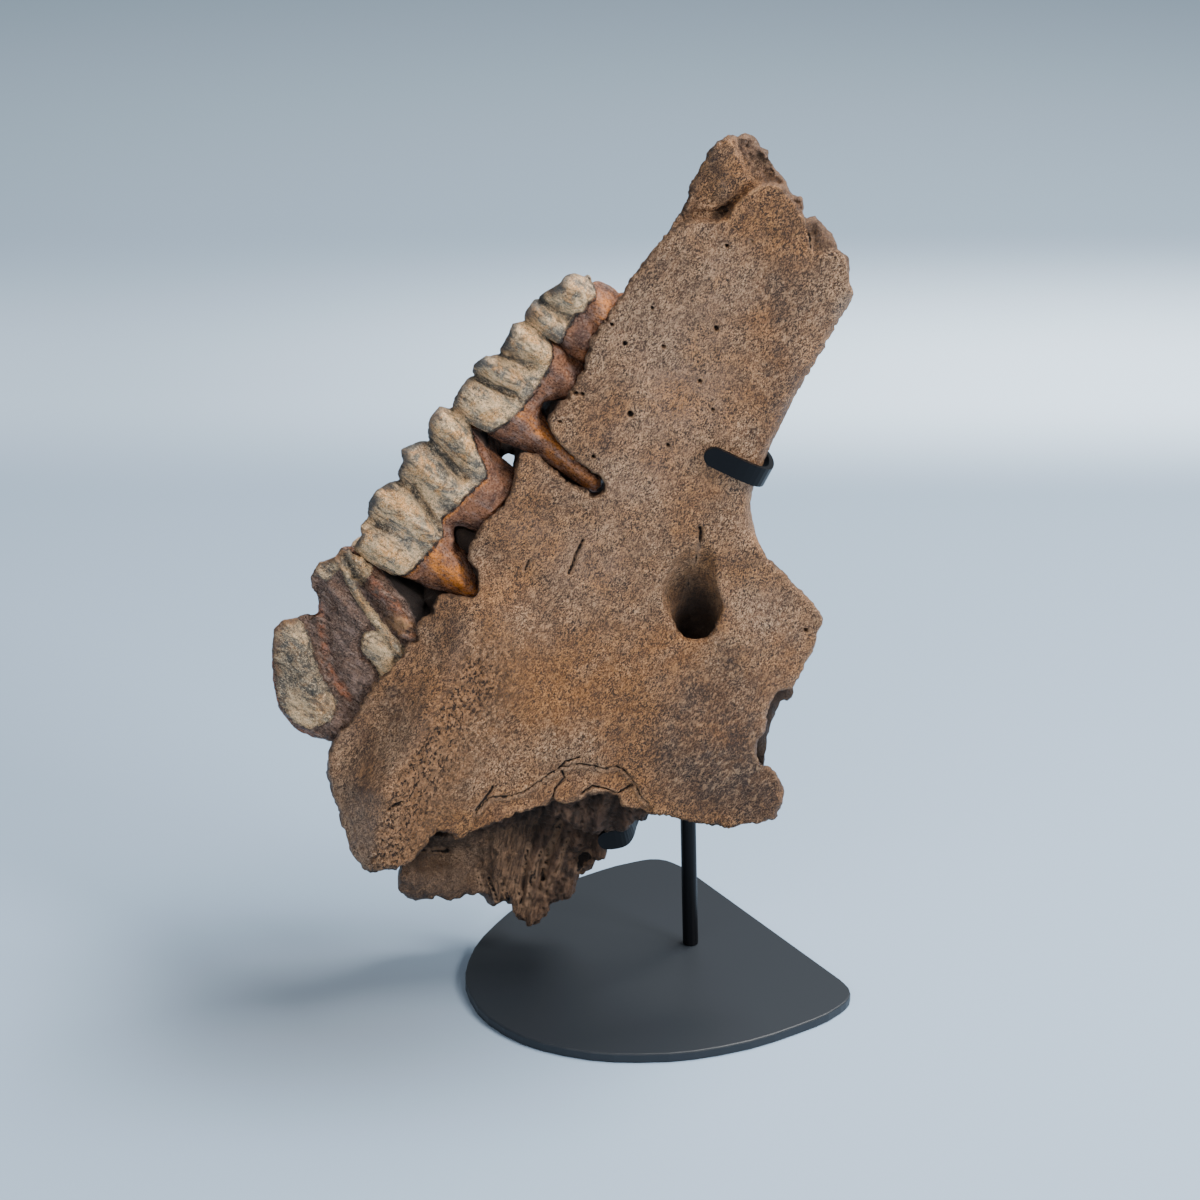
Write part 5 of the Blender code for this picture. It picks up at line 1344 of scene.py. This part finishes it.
def tooth_material():
    paint = Paint("fossil_tooth")
    edge, tall, outer = paint.mask("edge"), paint.mask("tall"), paint.mask("outer")
    groove, lobe, violet = paint.mask("groove"), paint.mask("lobe"), paint.mask("violet")
    wobble = paint.math("MULTIPLY", paint.math("SUBTRACT", paint.noise(1.3, 3.0, 0.65), 0.5), 2.4)
    to_enamel = paint.math("ADD", paint.mask("to_enamel"), wobble)
    enamel = paint.range(to_enamel, -0.10, 0.12)
    along = paint.turned(-0.902, 2.0)
    cool = paint.range(paint.noise(6.0, 4.0, 0.60, along, 0.5), 0.49, 0.60)
    shell = paint.mix(cool, (0.980, 0.640, 0.330), (0.230, 0.196, 0.150))
    high = paint.math("ADD", paint.math("MULTIPLY", groove, 0.8),
                      paint.range(tall, 0.55, 1.0, 0.0, 0.45))
    mottle = paint.range(paint.noise(2.2, 5.0, 0.7, along), 0.36, 0.60)
    shell = paint.mix(paint.math("MULTIPLY", high, mottle), shell, (0.062, 0.066, 0.066))
    tan = paint.range(paint.noise(4.5, 4.0, 0.65, distortion=0.5), 0.44, 0.60)
    tan = paint.math("MULTIPLY", tan, paint.math("ADD", paint.math("MULTIPLY", lobe, 0.65), 0.35))
    shell = paint.mix(tan, shell, (0.880, 0.430, 0.135))
    shell = paint.mix(paint.math("MULTIPLY", paint.mask("valley"), mottle), shell,
                      (0.085, 0.066, 0.050))
    dull = paint.math("ADD", paint.math("MULTIPLY", mottle, 0.50), 0.45)
    shell = paint.mix(paint.math("MULTIPLY", paint.mask("grime"), dull), shell,
                      (0.105, 0.084, 0.060))
    scratch = paint.noise(0.6, 3.0, 0.7, distortion=1.4)
    speck = paint.range(scratch, 0.53, 0.61)
    shell = paint.mix(paint.math("MULTIPLY", speck, 0.7), shell, (0.062, 0.048, 0.036))
    light = paint.range(scratch, 0.48, 0.40)
    shell = paint.mix(paint.math("MULTIPLY", light, 0.7), shell, (1.00, 0.76, 0.48))

    # a net of hair-thin dark scribbles, denser in grooves and near the edges
    wire = paint.math("ABSOLUTE", paint.math("SUBTRACT", paint.noise(1.3, 2.0, 0.6,
                                                                     distortion=2.2), 0.5))
    wire = paint.range(wire, 0.042, 0.012)
    near_neck = paint.range(paint.mask("to_enamel"), 3.4, 0.6)
    dense = paint.math("MAXIMUM", paint.math("MAXIMUM", groove, near_neck),
                       paint.range(tall, 0.5, 0.95))
    dense = paint.math("MAXIMUM", dense, paint.range(paint.noise(5.0, 2.0), 0.42, 0.56, 0.30, 1.0))
    wire = paint.math("MULTIPLY", wire, dense)
    shell = paint.mix(paint.math("MULTIPLY", wire, 0.95), shell, (0.026, 0.026, 0.026))
    rim = paint.mix(violet, (0.030, 0.032, 0.034), (0.170, 0.075, 0.030))
    shell = paint.mix(paint.math("MULTIPLY", edge, 0.85), shell, rim)
    shell = paint.mix(paint.math("MULTIPLY", paint.mask("crack"), 0.75), shell,
                      (0.040, 0.036, 0.032))

    patch = paint.range(paint.noise(6.0, 4.0, 0.6), 0.38, 0.62)
    bark = paint.mix(patch, (0.130, 0.056, 0.034), (0.340, 0.135, 0.062))
    bark = paint.mix(paint.math("MULTIPLY", violet, 0.8), bark, (0.135, 0.084, 0.060))
    glow = paint.range(paint.noise(2.4, 4.0, 0.65, along), 0.36, 0.58)
    rust = paint.mix(violet, (0.86, 0.270, 0.036), (0.380, 0.120, 0.048))
    bark = paint.mix(paint.math("MULTIPLY", paint.mask("rust"), glow), bark, rust)
    spots = paint.range(paint.noise(1.6, 4.0, 0.7), 0.54, 0.70)
    bark = paint.mix(paint.math("MULTIPLY", spots, 0.6), bark, (0.030, 0.016, 0.012))
    sheen = paint.range(paint.noise(3.0, 4.0, 0.6, along), 0.50, 0.66)
    bark = paint.mix(paint.math("MULTIPLY", sheen, 0.45), bark, (0.38, 0.25, 0.20))
    strands = paint.noise(1.0, 4.0, 0.68, paint.turned(-0.902, 4.5), 0.5)
    bark = paint.mix(paint.math("MULTIPLY", violet, paint.range(strands, 0.48, 0.38, 0.0, 0.8)),
                     bark, (0.040, 0.022, 0.015))
    bark = paint.mix(paint.math("MULTIPLY", violet, paint.range(strands, 0.54, 0.66, 0.0, 0.7)),
                     bark, (0.400, 0.270, 0.200))
    grit = paint.noise(0.6, 3.0, 0.7, distortion=0.6)
    bark = paint.mix(paint.range(grit, 0.47, 0.40, 0.0, 0.7), bark, (0.020, 0.010, 0.007))
    bark = paint.mix(paint.range(grit, 0.55, 0.63, 0.0, 0.5), bark, (0.46, 0.27, 0.17))
    base = paint.mix(enamel, bark, shell)
    base = paint.mix(paint.math("MULTIPLY", paint.mask("amber"), glow), base,
                     (0.560, 0.300, 0.130))
    seam = paint.range(paint.math("ABSOLUTE", to_enamel), 0.90, 0.25)
    seam = paint.math("MULTIPLY", paint.math("MULTIPLY", seam, outer),
                      paint.range(paint.noise(2.6, 3.0), 0.36, 0.56, 0.25, 0.95))
    seam = paint.math("MULTIPLY", seam, paint.range(violet, 0.0, 1.0, 1.0, 0.5))
    base = paint.mix(seam, base, (0.024, 0.015, 0.011))
    # painted shade: near black in the deep gaps between the teeth
    base = paint.mix(paint.math("MULTIPLY", paint.mask("gap"), 0.95), base,
                     (0.010, 0.005, 0.003))
    shine = paint.range(enamel, 0.0, 1.0, 0.26, 0.42)
    closed = paint.mask("gap")
    paint.set(Base_Color=base, Roughness=paint.math("MAXIMUM", shine, closed),
              Specular_IOR_Level=0.5)
    paint.bumps((paint.noise(2.0, 4.0, 0.6), 0.8, 0.45), (enamel, 0.7, 1.0), (scratch, 0.6, 0.9),
                (paint.math("MULTIPLY", strands, violet), 1.4, 0.8),
                (paint.math("MULTIPLY", wire, -1.0), 0.3, 0.6))
    return paint.material


def steel_material(name, tone, roughness, shine):
    paint = Paint(name)
    paint.set(Base_Color=(*tone, 1.0), Roughness=roughness, Specular_IOR_Level=shine)
    paint.bumps((paint.noise(0.5, 2.0), 0.02, 0.22), (paint.noise(18.0, 2.0), 0.3, 0.08))
    return paint.material


# Stage, light and camera

def make_stage():
    points = np.array([(-3.0, -1.6, 0.0), (3.0, -1.6, 0.0), (3.0, 3.4, 0.0), (-3.0, 3.4, 0.0)])
    floor = piece_from("floor", points / MM, [(0, 1, 2, 3)])
    paint = Paint("floor_paint")
    place = paint.node("SeparateXYZ", {"Vector": paint.object}, output=1)
    across = paint.node("SeparateXYZ", {"Vector": paint.object}, output=0)
    # painted light and shade on the floor: lighter further back, and dimmer far back on the right where the
    # lamp's light falls off
    far = paint.range(place, 0.56, 1.20)
    tone = paint.mix(far, (0.302, 0.405, 0.532), (0.400, 0.525, 0.650))
    dim = paint.math("MULTIPLY", far, paint.range(across, 0.0, 0.7, 0.0, 0.28))
    tone = paint.mix(dim, tone, (0.27, 0.38, 0.51))
    # painted shadow of the jaw: a soft dark patch on the floor left of the stand
    shade = paint.math("MULTIPLY", paint.range(across, -0.235, -0.120),
                       paint.range(across, 0.000, -0.110))
    shade = paint.math("MULTIPLY", shade, paint.range(place, -0.135, -0.050))
    shade = paint.math("MULTIPLY", shade, paint.range(place, 0.050, -0.035))
    tone = paint.mix(paint.math("MULTIPLY", shade, 0.66), tone, (0.175, 0.200, 0.232))
    # painted light: a band of the floor further back glows, brightest on the right
    band = paint.math("MULTIPLY", paint.range(place, 0.42, 0.56), paint.range(place, 0.84, 0.60))
    band = paint.math("MULTIPLY", band, paint.range(across, -0.30, 0.25, 0.20, 1.0))
    glow = paint.math("MULTIPLY", band, 1.50)
    paint.set(Base_Color=tone, Roughness=0.75, Specular_IOR_Level=0.2,
              Emission_Color=(0.76, 0.90, 1.0, 1.0), Emission_Strength=glow)
    floor.data.materials.append(paint.material)


def area_light(name, place, target, size, power, tint=(1.0, 1.0, 1.0)):
    light = bpy.data.lights.new(name, "AREA")
    light.shape = "RECTANGLE"
    light.size, light.size_y = size
    light.energy = power
    light.color = tint
    lamp = bpy.data.objects.new(name, light)
    lamp.location = place
    lamp.rotation_euler = (Vector(target) - Vector(place)).to_track_quat("-Z", "Y").to_euler()
    bpy.context.collection.objects.link(lamp)


def make_light():
    world = bpy.data.worlds.new("studio")
    world.use_nodes = True
    world.node_tree.nodes["Background"].inputs["Color"].default_value = (0.80, 0.88, 0.97, 1.0)
    world.node_tree.nodes["Background"].inputs["Strength"].default_value = 0.30
    bpy.context.scene.world = world
    centre = (-0.03, -0.02, 0.15)
    area_light("key", (0.46, 0.12, 1.10), centre, (0.90, 0.60), 33.0, (1.0, 0.985, 0.96))
    area_light("side", (0.95, -0.75, 0.85), centre, (0.40, 0.40), 19.0, (1.0, 0.985, 0.96))
    area_light("front_fill", (-0.50, -1.25, 0.9), centre, (0.9, 0.7), 10.5, (0.97, 0.98, 1.0))


def make_camera():
    camera = bpy.data.cameras.new("camera")
    camera.lens = 110.77
    camera.sensor_width = 36.0
    camera.clip_end = 20.0
    viewer = bpy.data.objects.new("camera", camera)
    viewer.location = (-0.0294, -1.0709, 0.5561)
    viewer.rotation_euler = (np.radians(68.0), 0.0, 0.0)
    bpy.context.collection.objects.link(viewer)
    bpy.context.scene.camera = viewer


shapes = [Tooth(name) for name in TEETH]
enamel_paint = tooth_material()
for shape in shapes:
    build_tooth(shape, enamel_paint)
build_bone(shapes, bone_material())
plate_paint = steel_material("black_plate", (0.0145, 0.0182, 0.0235), 0.46, 0.36)
rod_paint = steel_material("black_rod", (0.0028, 0.003, 0.004), 0.36, 0.16)
for name in ("stand_base", "stand_rod", "upper_claw", "lower_claw"):
    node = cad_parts[name]
    node.data.materials.clear()
    node.data.materials.append(plate_paint if name == "stand_base" else rod_paint)
make_stage()
make_light()
make_camera()
